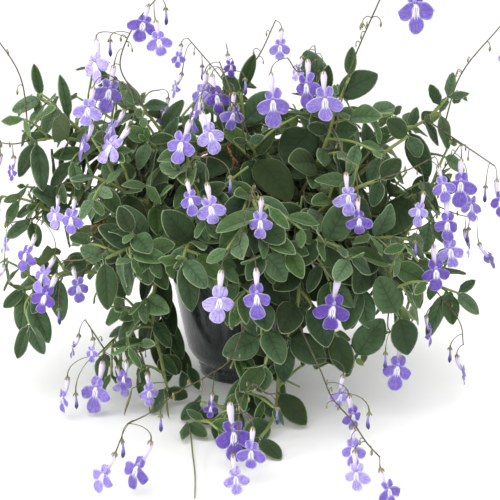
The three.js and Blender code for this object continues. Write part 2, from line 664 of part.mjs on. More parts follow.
function makeRods(stem, axes) {
  const foot = vector([...stem.foot, SOIL_TOP - FOOT_DEPTH]);
  return axes.map((points, i) => {
    if (i > 0) {
      return rod(points, taper(points, SHOOT_BASE, SHOOT_TIP), SHOOT_SIDES);
    }
    return rod([foot, ...points], [STEM_BASE, ...taper(points, STEM_BASE, STEM_TIP)], STEM_SIDES);
  });
}

// A leaf: where it starts, the way it points, its face's normal, and its size
function leafPoint(leaf, u, v, grow = 0) {
  const half = (leaf.width / 2) * v * (1 + grow);
  return leaf.base.clone()
    .addScaledVector(leaf.point, leaf.length * u)
    .addScaledVector(leaf.side, half)
    .addScaledVector(leaf.normal, Math.abs(half) * leaf.fold - leaf.length * leaf.curl * u * u);
}

function leafSolid(leaf) {
  const ring = LEAF_OUTLINE.map(([u, v]) => leafPoint(leaf, u, v));
  ring[0].addScaledVector(leaf.point, leaf.offset);
  return blade(ring, leafPoint(leaf, ...LEAF_MIDDLE), leaf.normal, LEAF_THICK);
}

// The space that a leaf needs, from a distance off its stem onward
function leafSpace(leaf, from) {
  const start = from / leaf.length;
  const tip = 1 + LEAF_CLEAR / leaf.length;
  const outline = [[start, 0], ...LEAF_OUTLINE.slice(1, 3), [tip, 0], ...LEAF_OUTLINE.slice(4)];
  const ring = outline.map(([u, v]) => leafPoint(leaf, u, v, 0.06));
  return blade(ring, leafPoint(leaf, ...LEAF_MIDDLE), leaf.normal, LEAF_THICK + 2 * LEAF_CLEAR);
}

// One way in which a leaf may grow at a joint of the stem
function drawLeaf(joint, angle, size, next, attempt) {
  const outward = new THREE.Vector3(joint.point.x, joint.point.y, 0).normalize();
  const reference = Math.abs(joint.heading.z) > 0.92 ? outward : UP;
  const side = joint.heading.clone().cross(reference).normalize();
  const lift = side.clone().cross(joint.heading);
  const around = (range) => range * (next() - 0.5);
  const wider = LEAF_TURN.spread + around(LEAF_TURN.spreadRange);
  const spread = radians(wider + (attempt > 3 ? around(LEAF_TURN.widerSpread) : 0));
  const phase = angle + radians(around(LEAF_TURN.angleRange + LEAF_TURN.angleStep * attempt));
  const point = joint.heading.clone().multiplyScalar(Math.cos(spread))
    .addScaledVector(side, Math.sin(spread) * Math.cos(phase))
    .addScaledVector(lift, Math.sin(spread) * Math.sin(phase));
  point.z -= LEAF_DROOP;
  point.normalize();
  const light = outward.multiplyScalar(LEAF_LIGHT.out).addScaledVector(UP, LEAF_LIGHT.up);
  light.x += around(LEAF_LIGHT.side);
  light.y += around(LEAF_LIGHT.side) - LEAF_LIGHT.front;
  light.z += around(LEAF_LIGHT.rise);
  const normal = light.addScaledVector(point, -light.dot(point)).normalize();
  const length = size * (LEAF_SIZES.least + LEAF_SIZES.range * next()) * (1 - LEAF_SIZES.shrink * attempt);
  return {
    base: joint.point,
    offset: joint.offset,
    point,
    normal,
    side: point.clone().cross(normal),
    length,
    width: length * LEAF_SHAPE * (1 + around(LEAF_SIZES.widthRange)),
    curl: LEAF_BEND.curl + LEAF_BEND.curlRange * next(),
    fold: LEAF_BEND.fold + LEAF_BEND.foldRange * next(),
  };
}

// A leaf whose tip is known
function shownLeaf(joint, tip, share, turn) {
  const point = tip.clone().sub(joint.point);
  const length = point.length();
  point.normalize();
  const light = new THREE.Vector3(Math.sin(radians(turn)), -Math.cos(radians(turn)), SHOWN_LIGHT);
  const normal = light.addScaledVector(point, -light.dot(point)).normalize();
  return {
    base: joint.point,
    offset: joint.offset,
    point,
    normal,
    side: point.clone().cross(normal),
    length,
    width: length * share,
    curl: SHOWN_CURL,
    fold: SHOWN_FOLD,
  };
}

// The solid of the first leaf that stands above the floor and clear of all that is placed
function growLeaf(owner, count, leafAt) {
  for (let attempt = 0; attempt < count; attempt += 1) {
    const leaf = leafAt(attempt);
    const high = LEAF_OUTLINE.every(([u, v]) => leafPoint(leaf, u, v).z > LOWEST);
    if (high && isClear(leafSpace(leaf, LEAF_FREE)) && isClear(leafSpace(leaf, 0.4), owner)) {
      const solid = leafSolid(leaf);
      keep(owner, solid);
      return solid;
    }
  }
  return null;
}

// The places of a stem's leaves: opposite pairs, each pair turned a quarter from the last
function leafPlaces(axes, number) {
  return axes.flatMap((points, axis) => {
    const total = lengthOf(points);
    const bare = axis === 0 ? Math.max(24, 0.2 * total) : 9;
    const most = axis === 0 ? STEM_PAIRS : SHOOT_PAIRS;
    const pairs = Math.min(most, 1 + Math.floor((total - 1 - bare) / LEAF_STEP));
    return Array.from({ length: 2 * Math.max(pairs, 0) }, (_, i) => {
      const [pair, member] = [Math.floor(i / 2), i % 2];
      const distance = total - 1 - pair * LEAF_STEP;
      return {
        key: `${axis} ${pair} ${member}`,
        joint: { ...along(points, distance), offset: LEAF_OFFSET * flatRadius(axis, distance / total) },
        angle: (Math.PI / 2) * pair + Math.PI * member,
        size: LEAF_LENGTH * (pair === 0 ? 0.66 : Math.min(1.06, 0.86 + 0.1 * pair)),
        next: draws(number, axis, pair, member),
      };
    });
  });
}

// The leaves of a stem that the photograph shows
function growShown(owner, places, rows) {
  const grown = {};
  rows.forEach(([axis, pair, member, x, y, z, share, turn]) => {
    const key = `${axis} ${pair} ${member}`;
    const place = places.find((one) => one.key === key);
    if (!place) {
      throw new Error(`no joint ${key} on ${owner}`);
    }
    const leafAt = (i) => shownLeaf(place.joint, vector([x, y, z]).add(SHIFTS[i]), share, turn);
    const solid = growLeaf(owner, SHIFTS.length, leafAt);
    if (solid) {
      grown[key] = solid;
    }
  });
  return grown;
}

// The rest of a stem's leaves
function growDrawn(owner, places, grown) {
  places.filter(({ key }) => !grown[key]).forEach(({ key, joint, angle, size, next }) => {
    const solid = growLeaf(owner, LEAF_TRIES, (i) => drawLeaf(joint, angle, size, next, i));
    if (solid) {
      grown[key] = solid;
    }
  });
}

// The way a flower faces, its upward line and its right-hand line
function flowerFrame(turn, tilt, lean) {
  const facing = new THREE.Vector3(
    Math.sin(radians(turn)) * Math.cos(radians(tilt)),
    -Math.cos(radians(turn)) * Math.cos(radians(tilt)),
    Math.sin(radians(tilt)),
  );
  const rise = UP.clone().addScaledVector(facing, -facing.z).normalize();
  rise.applyAxisAngle(facing, radians(-lean));
  return { facing, rise, right: facing.clone().cross(rise).negate() };
}

function flowerPoint(flower, [x, y, z]) {
  return flower.centre.clone()
    .addScaledVector(flower.right, x * flower.width)
    .addScaledVector(flower.rise, y * flower.width)
    .addScaledVector(flower.facing, z * flower.width);
}

// Three points round the tube of a flower or the stalk that it hangs on
function tubeRing(point, right, back, radius) {
  const front = point.clone().addScaledVector(back, -radius / 2);
  return [
    front.clone().addScaledVector(right, -0.87 * radius),
    point.clone().addScaledVector(back, radius),
    front.clone().addScaledVector(right, 0.87 * radius),
  ];
}

// A flower's face, tube and stalk as one closed body, with the stalk's joint
function makeFlower([x, y, z, width, turn, tilt, lean], shift, joints, reach = 1) {
  const flower = { centre: vector([x, y, z]).add(shift), width, ...flowerFrame(turn, tilt, lean) };
  const at = (list) => list.map((p) => flowerPoint(flower, p));
  const mirrored = PETAL_LEFT.map(([a, b, c]) => [-a, b, c]).reverse();
  const ring = at([PETAL_TOP, ...PETAL_LEFT, PETAL_TIP, ...mirrored]);
  const throat = at(THROAT);
  const behind = at(THROAT.map(([a, b, c]) => [a, b, c - THROAT_THICK]));
  const top = flowerPoint(flower, [0, TUBE_UP, -TUBE_BACK]);
  const hook = hangingPoint(joints, top);
  const joint = top.clone().lerp(hook, reach);
  const axis = top.clone().sub(flower.centre).normalize();
  const back = axis.clone().cross(flower.right);
  const high = tubeRing(top, flower.right, back, TUBE_TOP * width);
  const turnTo = new THREE.Quaternion().setFromUnitVectors(axis, joint.clone().sub(top).normalize());
  const end = tubeRing(joint, flower.right.clone().applyQuaternion(turnTo),
    back.clone().applyQuaternion(turnTo), PEDICEL_END);
  const points = [...ring, ...throat, ...behind, ...high, ...end];
  return { solid: closedSolid(points, flowerFaces(ring.length)), hook };
}

function flowerFaces(count) {
  const faces = [];
  const front = count;
  const rings = [count + 3, count + 6, count + 9];
  let k = 0;
  THROAT_SPANS.forEach((spans, a) => {
    const before = (a + 2) % 3;
    faces.push([front + before, k, front + a], [rings[0] + a, k, rings[0] + before]);
    for (let step = 0; step < spans; step += 1) {
      const next = (k + 1) % count;
      faces.push([k, next, front + a], [next, k, rings[0] + a]);
      k = next;
    }
  });
  faces.push([front, front + 1, front + 2]);
  [0, 1].forEach((level) => {
    const low = rings[level];
    const high = rings[level + 1];
    [0, 1, 2].forEach((a) => {
      const b = (a + 1) % 3;
      faces.push([low + b, low + a, high + a], [low + b, high + a, high + b]);
    });
  });
  faces.push([rings[2] + 2, rings[2] + 1, rings[2]]);
  return faces;
}

function makeBud([x, y, z], shift, joints, reach = 1) {
  const tip = vector([x, y, z]).add(shift);
  const top = tip.clone().addScaledVector(UP, BUD_LENGTH);
  const belly = tip.clone().addScaledVector(UP, BUD_LENGTH * 0.2);
  const radii = [PEDICEL_END, 0.6, BUD_RADIUS, BUD_RADIUS * 0.5];
  const hook = hangingPoint(joints, top);
  const joint = top.clone().lerp(hook, reach);
  return { solid: rod([joint, top, belly, tip], radii, 3), hook };
}

// The joint that something hangs from: near it, and rather above than below
function hangingPoint(joints, top, lift = 0.6) {
  const cost = (p) => p.distanceTo(top) - lift * (p.z - top.z);
  return joints.reduce((best, p) => (cost(p) < cost(best) ? p : best));
}

// Places along a stalk, clear of where it starts, that flowers may hang from
function jointsOf(line) {
  const start = Math.min(JOINT_START, 0.5 * lengthOf(line));
  const count = Math.floor((lengthOf(line) - start - 0.5) / JOINT_STEP) + 1;
  return Array.from({ length: count }, (_, i) => along(line, lengthOf(line) - 0.5 - i * JOINT_STEP).point);
}

// The first points of a spray's stalk, from just off the skin of its stem
function seatPoints(seat, toward) {
  const leave = toward.clone().sub(seat.point);
  leave.addScaledVector(seat.heading, -leave.dot(seat.heading)).normalize();
  const near = seat.radius + GAP + 0.1;
  return [near, seat.radius + 5].map((far) => seat.point.clone().addScaledVector(leave, far));
}

// A stalk from its seat on the stem, or from the nearest joint of the spray's first stalk
function makeStalk(name, seat, route, forks) {
  for (const shift of SHIFTS) {
    const points = route.map((p, i) => vector(p).addScaledVector(shift, i + 1 < route.length ? 1 : 0.5));
    const [base, first] = seatPoints(seat, points[0]);
    const line = forks ? curvePoints([hangingPoint(forks, points[0], 0), ...points], STEPS_PER_SPAN)
      : [base, ...curvePoints([first, ...points], STEPS_PER_SPAN)];
    const solid = rod(line, line.map(() => STALK_RADIUS), 3);
    if (isClear(solid, name, 'stalk')) {
      keep(name, solid, 'stalk');
      return { solid, line };
    }
  }
  throw new Error(`no clear place for a stalk of ${name}`);
}

// A flower or bud hung on the best free joint of its stalk, clear of all else
function hang(name, make, row, joints) {
  for (const shift of SHIFTS) {
    const near = make(row, shift, joints, PEDICEL_FREE).solid;
    const { solid, hook } = make(row, shift, joints);
    const low = solid.boundingBox().min[2] < LOWEST;
    if (!low && isClear(near) && isClear(solid, name)) {
      keep(name, near, 'flower');
      joints.splice(joints.indexOf(hook), 1);
      return solid;
    }
  }
  throw new Error(`no clear place for ${row} of ${name}`);
}

function makeSpray(name, spray, axesByStem) {
  const [stem, axis, share] = spray.on;
  const points = axesByStem[stem][axis];
  const seat = along(points, share * lengthOf(points));
  seat.radius = radiusAt(axis, share);
  const pieces = [];
  let forks = null;
  spray.stalks.forEach(({ route, flowers = [], buds = [] }) => {
    const stalk = makeStalk(name, seat, route, forks);
    const joints = jointsOf(stalk.line);
    forks = forks || joints;
    pieces.push(stalk.solid);
    flowers.forEach((row) => pieces.push(hang(name, makeFlower, row, joints)));
    buds.forEach((row) => pieces.push(hang(name, makeBud, row, joints)));
  });
  return fuse(pieces);
}

function meshOf(name, solid, color, roughness) {
  const { vertProperties, triVerts } = solid.getMesh();
  const geometry = new THREE.BufferGeometry();
  geometry.setAttribute('position', new THREE.BufferAttribute(new Float32Array(vertProperties), 3));
  geometry.setIndex(new THREE.BufferAttribute(new Uint32Array(triVerts), 1));
  geometry.computeVertexNormals();
  const material = new THREE.MeshStandardMaterial({ color, roughness, metalness: 0, flatShading: true });
  const mesh = new THREE.Mesh(geometry, material);
  mesh.name = name;
  return mesh;
}

function windowSolid([low, high]) {
  const [x, y, z] = high.map((value, i) => value - low[i]);
  const box = new THREE.BoxGeometry(x, y, z).translate(low[0] + x / 2, low[1] + y / 2, low[2] + z / 2);
  return solidOf(box);
}

const plant = new THREE.Group();
const pot = makePot();
const soil = makeSoil();
keep('pot', pot);
keep('soil', soil);
plant.add(meshOf('pot', pot, 0x2e3434, 0.55));
plant.add(meshOf('soil', soil, 0x33261d, 0.95));

const axesByStem = {};
const rodsByStem = {};
Object.entries(STEMS).forEach(([name, stem]) => {
  axesByStem[name] = axesOf(stem);
  rodsByStem[name] = makeRods(stem, axesByStem[name]);
  rodsByStem[name].forEach((solid) => keep(`stem_${name}`, solid));
});

Object.entries(SPRAYS).forEach(([name, spray]) => {
  const owner = `spray_${name}`;
  const solid = makeSpray(owner, spray, axesByStem);
  keep(owner, solid, 'spray');
  plant.add(meshOf(owner, solid, 0x9a86e0, 0.6));
});

keep('window', windowSolid(POT_WINDOW));
const placesByStem = {};
const leavesByStem = {};
Object.entries(axesByStem).forEach(([name, axes], number) => {
  placesByStem[name] = leafPlaces(axes, number);
  leavesByStem[name] = growShown(`stem_${name}`, placesByStem[name], SHOWN_LEAVES[name] || []);
});
Object.entries(leavesByStem).forEach(([name, leaves]) => {
  growDrawn(`stem_${name}`, placesByStem[name], leaves);
  const solid = fuse([...rodsByStem[name], ...Object.values(leaves)]);
  plant.add(meshOf(`stem_${name}`, solid, 0x5d7a58, 0.8));
});

export default plant;
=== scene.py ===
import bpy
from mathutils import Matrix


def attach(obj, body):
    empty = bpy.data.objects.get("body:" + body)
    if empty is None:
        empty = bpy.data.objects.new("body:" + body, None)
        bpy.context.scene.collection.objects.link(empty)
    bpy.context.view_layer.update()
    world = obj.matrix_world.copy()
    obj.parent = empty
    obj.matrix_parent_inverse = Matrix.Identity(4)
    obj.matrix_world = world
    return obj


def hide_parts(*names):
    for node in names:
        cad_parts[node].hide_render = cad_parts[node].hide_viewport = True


bl_info = {
    "name": "Cape primrose in a nursery pot",
    "version": (1, 0, 0),
    "blender": (4, 5, 0),
    "location": "View3D > Sidebar > Cape primrose",
    "description": "Dresses a trailing cape primrose: leaves, flowers, stalks, pot and soil",
    "category": "Object",
}

import math

import bmesh
import bpy
import numpy as np
from mathutils import Matrix, Vector, noise

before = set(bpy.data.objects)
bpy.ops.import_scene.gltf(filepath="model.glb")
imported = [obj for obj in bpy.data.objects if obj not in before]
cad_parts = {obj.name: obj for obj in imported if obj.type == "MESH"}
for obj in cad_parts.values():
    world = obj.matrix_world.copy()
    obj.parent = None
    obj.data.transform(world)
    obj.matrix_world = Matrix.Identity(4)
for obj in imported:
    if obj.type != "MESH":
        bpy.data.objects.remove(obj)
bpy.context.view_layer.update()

# The plan is in millimetres, as the solids are, and becomes metres where a mesh is made
METRES = 0.001
UP = np.array([0.0, 0.0, 1.0])
LARGEST = 2147483647

# The finishes of a leafy stem and of a spray, in the order of their numbers on the faces
STEM_FINISHES = ("leaf", "under", "stem", "dry")
UPPER, UNDER, STEM, DRY = range(4)
SPRAY_FINISHES = ("petal", "petal_back", "tube", "sepal", "stalk", "bud")
PETAL, PETAL_BACK, TUBE, SEPAL, STALK, BUD = range(6)

# Pot and soil
POT_HEIGHT = 115
RIM_RADIUS = 71
NECK = POT_HEIGHT - 16
FOOT_RADIUS = 40
FOOT_BAND = 12
POT_WALL = 1.9
POT_FLOOR = 2.4
WALL_FOOT = FOOT_RADIUS + 3
WALL_TOP = WALL_FOOT + 22.5
UNDER_RIM = WALL_TOP + 3.4
BELLY = [[48.5, 21], [53, 34]]
# Turns of the pot's section, beyond its foot, its foot band and its rim
FOOT_RING = [[-9, 1.1], [-7.6, 0], [-1.6, 0], [-0.2, 0.8], [0.6, 2.2], [0.9, 3.2], [0.3, 3.9], [0.7, 8.2],
             [1.6, 8.9]]
FOOT_STEP = [[1.9, -0.8], [1.2, -0.1], [1.9, 0.7]]
RIM_ROLL = [[-0.7, -3.4], [0, -2.8], [0, -0.7], [-0.6, 0], [0.5 - POT_WALL, 0], [-POT_WALL, -0.6]]
DRAIN_HOLES = 4
DRAIN_RADIUS = 4
DRAIN_RING = 25
SOIL_TOP = 98
GAP = 0.3
FLOOR_CLEAR = 0.1
POT_SIDES = 96
SOIL_SIDES = 110
SOIL_RINGS = 34
CRISP_EDGE = 32

# Stems and leaves, as the solids have them
STEM_BASE = 2.3
STEM_TIP = 1.3
SHOOT_BASE = 1.6
SHOOT_TIP = 1.1
FOOT_DEPTH = 20
SOLID_STEPS = 2
FINE_STEPS = 6
SHOOT_STEPS = 4
CELL = 4.0
LEAF_LENGTH = 36
LEAF_SHAPE = 0.62
LEAF_DROOP = 0.42
LEAF_STEP = 28
LEAF_TRIES = 14
STEM_PAIRS = 3
SHOOT_PAIRS = 3
SHOWN_LIGHT = 0.45
SHOWN_CURL = 0.1
SHOWN_FOLD = 0.1

# Flowers, as the solids have them
PETAL_TIP = (0, -0.53, 0.09)
TUBE_UP = 0.9
TUBE_BACK = 0.38
STALK_RADIUS = 0.75
JOINT_START = 14
JOINT_STEP = 4.5
BUD_LENGTH = 13
BUD_RADIUS = 1.5
MATCH = 0.08

# Leaves and shoots that fill the plant
FILL_LIMIT = 0.08
GAP_LIMIT = 0.06
ROSETTE_LIMIT = 0.25
SHOOT_LIMIT = 0.13
TRAIL_LIMIT = 0.3
TRAIL_WINDOW = 60
FLOOR_GAP = 1.2
LOW_LEAF = 80
LOW_WIDTH = 0.72

# Leafy stems: where each stands in the soil, where it passes, and its side shoots. A shoot has the
# share of the stem where it leaves it, then where it passes.
STEMS = {
  "crown_left": [[-14, 6], [[-25, 0, 145], [-50, -10, 190], [-70, -20, 221], [-85, -22, 242]],
    [0.62, [-66, -42, 204], [-76, -60, 215]], [0.5, [-92, 30, 205], [-128, 45, 232], [-153, 40, 248]]],
  "crown_middle": [[-2, 14], [[-3, 10, 148], [-5, 5, 193], [0, -5, 229], [-2, -10, 254]],
    [0.5, [10, -38, 200], [4, -60, 214]], [0.45, [-6, 50, 218], [-14, 82, 246]]],
  "crown_right": [[13, 10], [[28, 5, 153], [50, 0, 194], [62, -10, 225], [67, -20, 248]],
    [0.5, [58, 42, 214], [66, 74, 236]]],
  "inner_right": [[22, -8], [[40, -30, 150], [58, -50, 190], [70, -60, 224], [74, -58, 250]]],
  "high_left": [[-27, 4], [[-52, 0, 146], [-97, -15, 188], [-137, -25, 222], [-167, -30, 249]],
    [0.72, [-150, -44, 216], [-168, -52, 214]]],
  "high_right": [[27, 4], [[54, 0, 150], [101, -10, 196], [140, -25, 222], [164, -30, 236]]],
  "high_right_front": [[30, -15], [[58, -40, 145], [89, -60, 183], [113, -65, 206], [133, -60, 219]]],
  "mid_left": [[-37, -6], [[-62, -20, 128], [-109, -30, 156], [-150, -33, 168], [-182, -35, 175]],
    [0.66, [-150, -54, 158], [-166, -64, 162]]],
  "mid_left_front": [[-30, -18], [[-50, -48, 132], [-76, -78, 164], [-97, -85, 181], [-115, -88, 190]]],
  "front_left": [[-14, -27], [[-19, -60, 138], [-30, -92, 170], [-39, -105, 189], [-46, -110, 197]]],
  "front_middle": [[2, -28], [[4, -66, 146], [6, -102, 176], [12, -128, 166], [16, -142, 140]]],
  "front_right": [[18, -26], [[38, -62, 136], [66, -88, 167], [88, -96, 182], [106, -92, 188]]],
  "mid_right": [[39, -3], [[66, -12, 124], [112, -26, 152], [148, -32, 168], [168, -34, 180]]],
  "low_left": [[-48, -9], [[-72, -20, 122], [-112, -46, 118], [-150, -60, 106], [-180, -66, 94]]],
  "low_left_front": [[-42, -21], [[-66, -44, 127], [-75, -84, 134], [-88, -104, 136], [-104, -116, 130]],
    [0.6, [-76, -112, 144], [-80, -126, 152]]],
  "front_left_low": [[-26, -38], [[-30, -74, 128], [-35, -108, 142], [-40, -130, 142], [-42, -144, 136]]],
  "front_right_low": [[23, -37], [[36, -74, 128], [56, -108, 142], [70, -126, 142], [78, -138, 136]]],
  "low_right": [[49, -10], [[74, -20, 125], [116, -36, 117], [150, -46, 104], [172, -52, 88]]],
  "low_right_front": [[41, -22], [[64, -52, 131], [94, -82, 139], [112, -95, 143], [129, -98, 142]],
    [0.6, [109, -106, 122], [120, -110, 84]]],
  "hang_front": [[8, -46], [[9, -68, 124], [11, -96, 116], [14, -116, 94], [15, -122, 70]],
    [0.72, [20, -127, 68], [17, -132, 52]]],
  "hang_front_right": [[36, -39], [[40, -64, 127], [44, -92, 114], [42, -108, 90], [34, -116, 68]],
    [0.66, [70, -108, 72], [89, -104, 48]]],
  "hang_left": [[-39, -33], [[-48, -60, 125], [-69, -70, 104], [-73, -76, 72], [-67, -82, 42],
    [-61, -92, 18]], [0.5, [-98, -64, 62], [-116, -66, 40]]],
  "floor_left": [[-7, -50], [[-9, -70, 123], [-4, -88, 100], [2, -98, 58], [1, -110, 20], [-14, -126, 9],
    [-42, -138, 9]], [0.8, [-20, -112, 12], [-34, -108, 14]]],
  "floor_front": [[21, -50], [[24, -70, 123], [28, -90, 100], [29, -102, 58], [27, -118, 18], [21, -140, 9],
    [13, -164, 9]]],
  "back_left": [[-22, 31], [[-40, 56, 158], [-74, 95, 184], [-108, 128, 166], [-124, 144, 132]]],
  "back_middle": [[0, 38], [[1, 66, 162], [5, 104, 188], [0, 140, 164], [-5, 154, 126]]],
  "back_right": [[24, 31], [[42, 56, 158], [78, 95, 184], [112, 126, 166], [128, 140, 132]]],
  "back_low_left": [[-42, 18], [[-66, 36, 124], [-106, 64, 128], [-138, 84, 98], [-148, 92, 58]]],
  "back_low_right": [[42, 18], [[66, 36, 124], [108, 64, 128], [140, 84, 98], [150, 90, 62]]],
}

# Leaves that the photograph shows whole, by stem. Each row has the axis, pair and member that it is,
# where its tip is, its width as a share of its length, and its face's turn to the right in degrees.
SHOWN_LEAVES = {
  "crown_left": [[0, 0, 0, -62, -28, 243, 0.45, 10], [0, 0, 1, -103, -22, 259, 0.5, -10],
    [1, 0, 0, -82, -72, 194, 0.5, -10], [1, 0, 1, -55, -66, 219, 0.45, 20]],
  "crown_middle": [[0, 0, 0, 9, -12, 282, 0.34, 15], [0, 0, 1, -17, -16, 264, 0.75, -10],
    [0, 1, 0, 25, -12, 251, 0.62, 10], [0, 2, 0, -36, -34, 187, 0.5, -15],
    [1, 0, 0, -7, -64, 220, 0.6, -15], [1, 0, 1, 17, -64, 219, 0.6, 15], [1, 1, 0, 40, -68, 172, 0.58, 10]],
  "crown_right": [[0, 0, 0, 52, -28, 285, 0.6, -5], [0, 0, 1, 70, -32, 273, 0.52, 20],
    [0, 1, 0, 33, -44, 200, 0.66, -5]],
  "inner_right": [[0, 0, 0, 104, -66, 268, 0.62, 0], [0, 1, 0, 52, -68, 228, 0.62, -10],
    [0, 1, 1, 90, -68, 224, 0.72, 10]],
  "high_left": [[0, 0, 0, -189, -38, 238, 0.5, -15], [0, 0, 1, -171, -32, 275, 0.34, 20],
    [0, 1, 0, -148, -27, 267, 0.28, 30], [0, 1, 1, -157, -36, 213, 0.5, -10],
    [1, 0, 0, -182, -58, 186, 0.45, -15], [1, 0, 1, -157, -62, 177, 0.34, 20]],
  "mid_left_front": [[0, 1, 0, -77, -98, 149, 0.55, 10]],
  "low_left_front": [[1, 0, 0, -89, -129, 172, 0.58, -10], [0, 0, 0, -121, -121, 139, 0.7, -15],
    [0, 0, 1, -99, -126, 94, 0.45, 0]],
  "low_left": [[0, 2, 0, -147, -63, 115, 0.62, -10], [0, 0, 0, -196, -72, 80, 0.5, -10],
    [0, 0, 1, -181, -76, 61, 0.45, 0], [0, 1, 0, -151, -68, 67, 0.4, 10],
    [0, 1, 1, -172, -80, 79, 0.5, -10]],
  "hang_left": [[1, 1, 0, -111, -70, 51, 0.4, 0], [0, 1, 0, -54, -84, 24, 0.4, 20],
    [0, 2, 0, -58, -78, 46, 0.45, 10]],
  "front_left_low": [[0, 0, 0, -34, -145, 98, 0.42, 10]],
  "hang_front": [[0, 0, 0, -14, -130, 60, 0.68, -15], [0, 0, 1, 35, -130, 64, 0.6, 15],
    [1, 0, 0, 14, -136, 23, 0.68, 0], [1, 0, 1, -1, -128, 35, 0.6, -20]],
  "hang_front_right": [[0, 0, 0, 65, -122, 54, 0.66, 10], [0, 0, 1, 30, -114, 32, 0.45, 0],
    [0, 2, 0, 30, -106, 80, 0.5, 0], [1, 2, 0, 60, -116, 69, 0.55, 10], [1, 1, 0, 82, -114, 38, 0.55, 0],
    [1, 0, 0, 107, -112, 82, 0.6, 10]],
  "low_right_front": [[1, 0, 0, 129, -118, 56, 0.74, 10], [1, 0, 1, 102, -112, 116, 0.62, -10],
    [1, 1, 0, 128, -114, 100, 0.7, 10]],
  "low_right": [[0, 0, 0, 178, -60, 62, 0.55, 10], [0, 0, 1, 153, -62, 51, 0.3, 0]],
  "mid_right": [[0, 1, 0, 118, -56, 140, 0.62, -10], [0, 0, 0, 130, -54, 160, 0.6, -5]],
  "front_right": [[0, 0, 0, 119, -96, 204, 0.7, 10], [0, 0, 1, 100, -100, 168, 0.55, -5],
    [0, 1, 0, 73, -106, 143, 0.5, -10]],
  "high_right": [[0, 0, 0, 172, -38, 207, 0.38, 20], [0, 0, 1, 169, -30, 249, 0.5, 10],
    [0, 1, 0, 154, -34, 182, 0.45, -20], [0, 1, 1, 146, -26, 240, 0.5, 10]],
  "high_right_front": [[0, 0, 0, 114, -66, 231, 0.75, -10], [0, 0, 1, 141, -70, 204, 0.75, 10],
    [0, 1, 0, 99, -74, 182, 0.5, -10]],
  "floor_left": [[0, 2, 0, -25, -130, 2, 0.55, 0], [0, 0, 0, -26, -152, 2, 0.5, 10],
    [0, 0, 1, -44, -157, 2, 0.4, -10]],
  "floor_front": [[0, 2, 0, 30, -130, 2, 0.5, 0], [0, 2, 1, 43, -118, 12, 0.5, 20],
    [0, 1, 0, 11, -160, 2, 0.6, -10]],
}

# Side shoots that only the dressed plant has, by stem. Each row has the axis and the share along it
# where the shoot starts, its route, and its leaves: share along it, tip, width and turn as above.
TRAILING = {
  "low_left": [[0, 0.28, [[-74, -24, 100], [-71, -27, 72], [-66, -34, 46], [-56, -45, 30], [-47, -55, 24]],
    [[0.1, -88, -36, 76, 0.36, -15], [0.16, -64, -48, 64, 0.34, 20], [0.34, -84, -42, 48, 0.38, -20],
    [0.36, -57, -50, 50, 0.36, 25], [0.54, -78, -48, 22, 0.38, -15], [0.54, -52, -56, 32, 0.36, 20],
    [0.76, -66, -58, 10, 0.42, -5], [0.76, -44, -64, 20, 0.38, 20], [1, -52, -66, 6, 0.42, 0],
    [1, -36, -72, 10, 0.4, 20]]], [0, 0.88, [[-177, -72, 84], [-174, -77, 68]],
    [[0.45, -198, -82, 62, 0.38, -15], [0.5, -156, -80, 54, 0.42, 15], [1, -186, -82, 40, 0.4, -10],
    [1, -163, -80, 42, 0.42, 10], [1, -174, -84, 44, 0.3, 0]]]],
  "low_right": [[0, 0.96, [[181, -57, 88]], [[0.8, 198, -62, 72, 0.5, 10], [0.9, 193, -58, 100, 0.5, -5],
    [1, 177, -64, 66, 0.45, 0]]]],
  "high_right": [[0, 0.95, [[168, -34, 248]], [[1, 171, -38, 268, 0.45, 0],
    [1, 184, -40, 252, 0.45, 10], [0.6, 153, -38, 258, 0.5, -10]]]],
  "inner_right": [[0, 0.93, [[84, -61, 264]], [[1, 84, -64, 287, 0.42, -10],
    [1, 101, -66, 281, 0.5, 10], [0.7, 99, -66, 256, 0.5, 5]]]],
  "high_left": [[0, 0.62, [[-132, -40, 204], [-139, -50, 198]], [[1, -156, -58, 178, 0.45, -10],
    [1, -131, -60, 176, 0.45, 10], [0.6, -154, -52, 204, 0.42, -20]]]],
  "front_right_low": [[0, 0.6, [[60, -110, 126], [66, -112, 113]], [[1, 61, -114, 88, 0.5, -5],
    [1, 84, -114, 92, 0.5, 10], [0.6, 49, -112, 104, 0.45, -15], [0.6, 86, -114, 112, 0.5, 20]]]],
  "low_right_front": [[0, 0.55, [[90, -96, 122], [91, -104, 107]], [[1, 97, -110, 74, 0.5, 5],
    [1, 78, -112, 74, 0.48, -10], [0.6, 108, -108, 90, 0.5, 10]]], [0, 0.34, [[76, -78, 116],
    [78, -84, 98]], [[0.5, 56, -90, 92, 0.62, 0], [0.5, 98, -86, 90, 0.6, 0], [1, 64, -92, 72, 0.62, 0],
    [1, 90, -90, 68, 0.6, 0]]]],
  "mid_left": [[0, 0.8, [[-166, -52, 156], [-172, -60, 150]], [[1, -191, -68, 138, 0.5, -10],
    [1, -165, -68, 130, 0.5, 10], [0.6, -150, -62, 144, 0.5, 0]]]],
  "mid_right": [[0, 0.85, [[150, -46, 158], [153, -56, 150]], [[1, 149, -64, 124, 0.5, 0],
    [1, 171, -64, 130, 0.45, 10], [0.5, 135, -62, 144, 0.5, -10]]]],
}

# Withered flowers and seed pods that hang by a thread, by stem: where each starts and where it ends
WITHERED = {
  "mid_left_front": [[-113, -82, 172, -111, -78, 160], [-106, -84, 166, -110, -86, 155]],
  "crown_middle": [[-20, -66, 209, -31, -68, 205], [-12, -64, 210, -8, -66, 202]],
}
WITHERED_WIDTHS = [0.35, 0.6, 1.1, 1.5, 1.2, 0.9, 1.4, 0.3]
PODS = {
  "hang_left": [[-88, -104, 22, -93, -112, 3], [-62, -106, 20, -57, -117, 3]],
}
POD_WIDTHS = [0.4, 0.75, 0.95, 1.0, 0.95, 0.8, 0.55, 0.15]

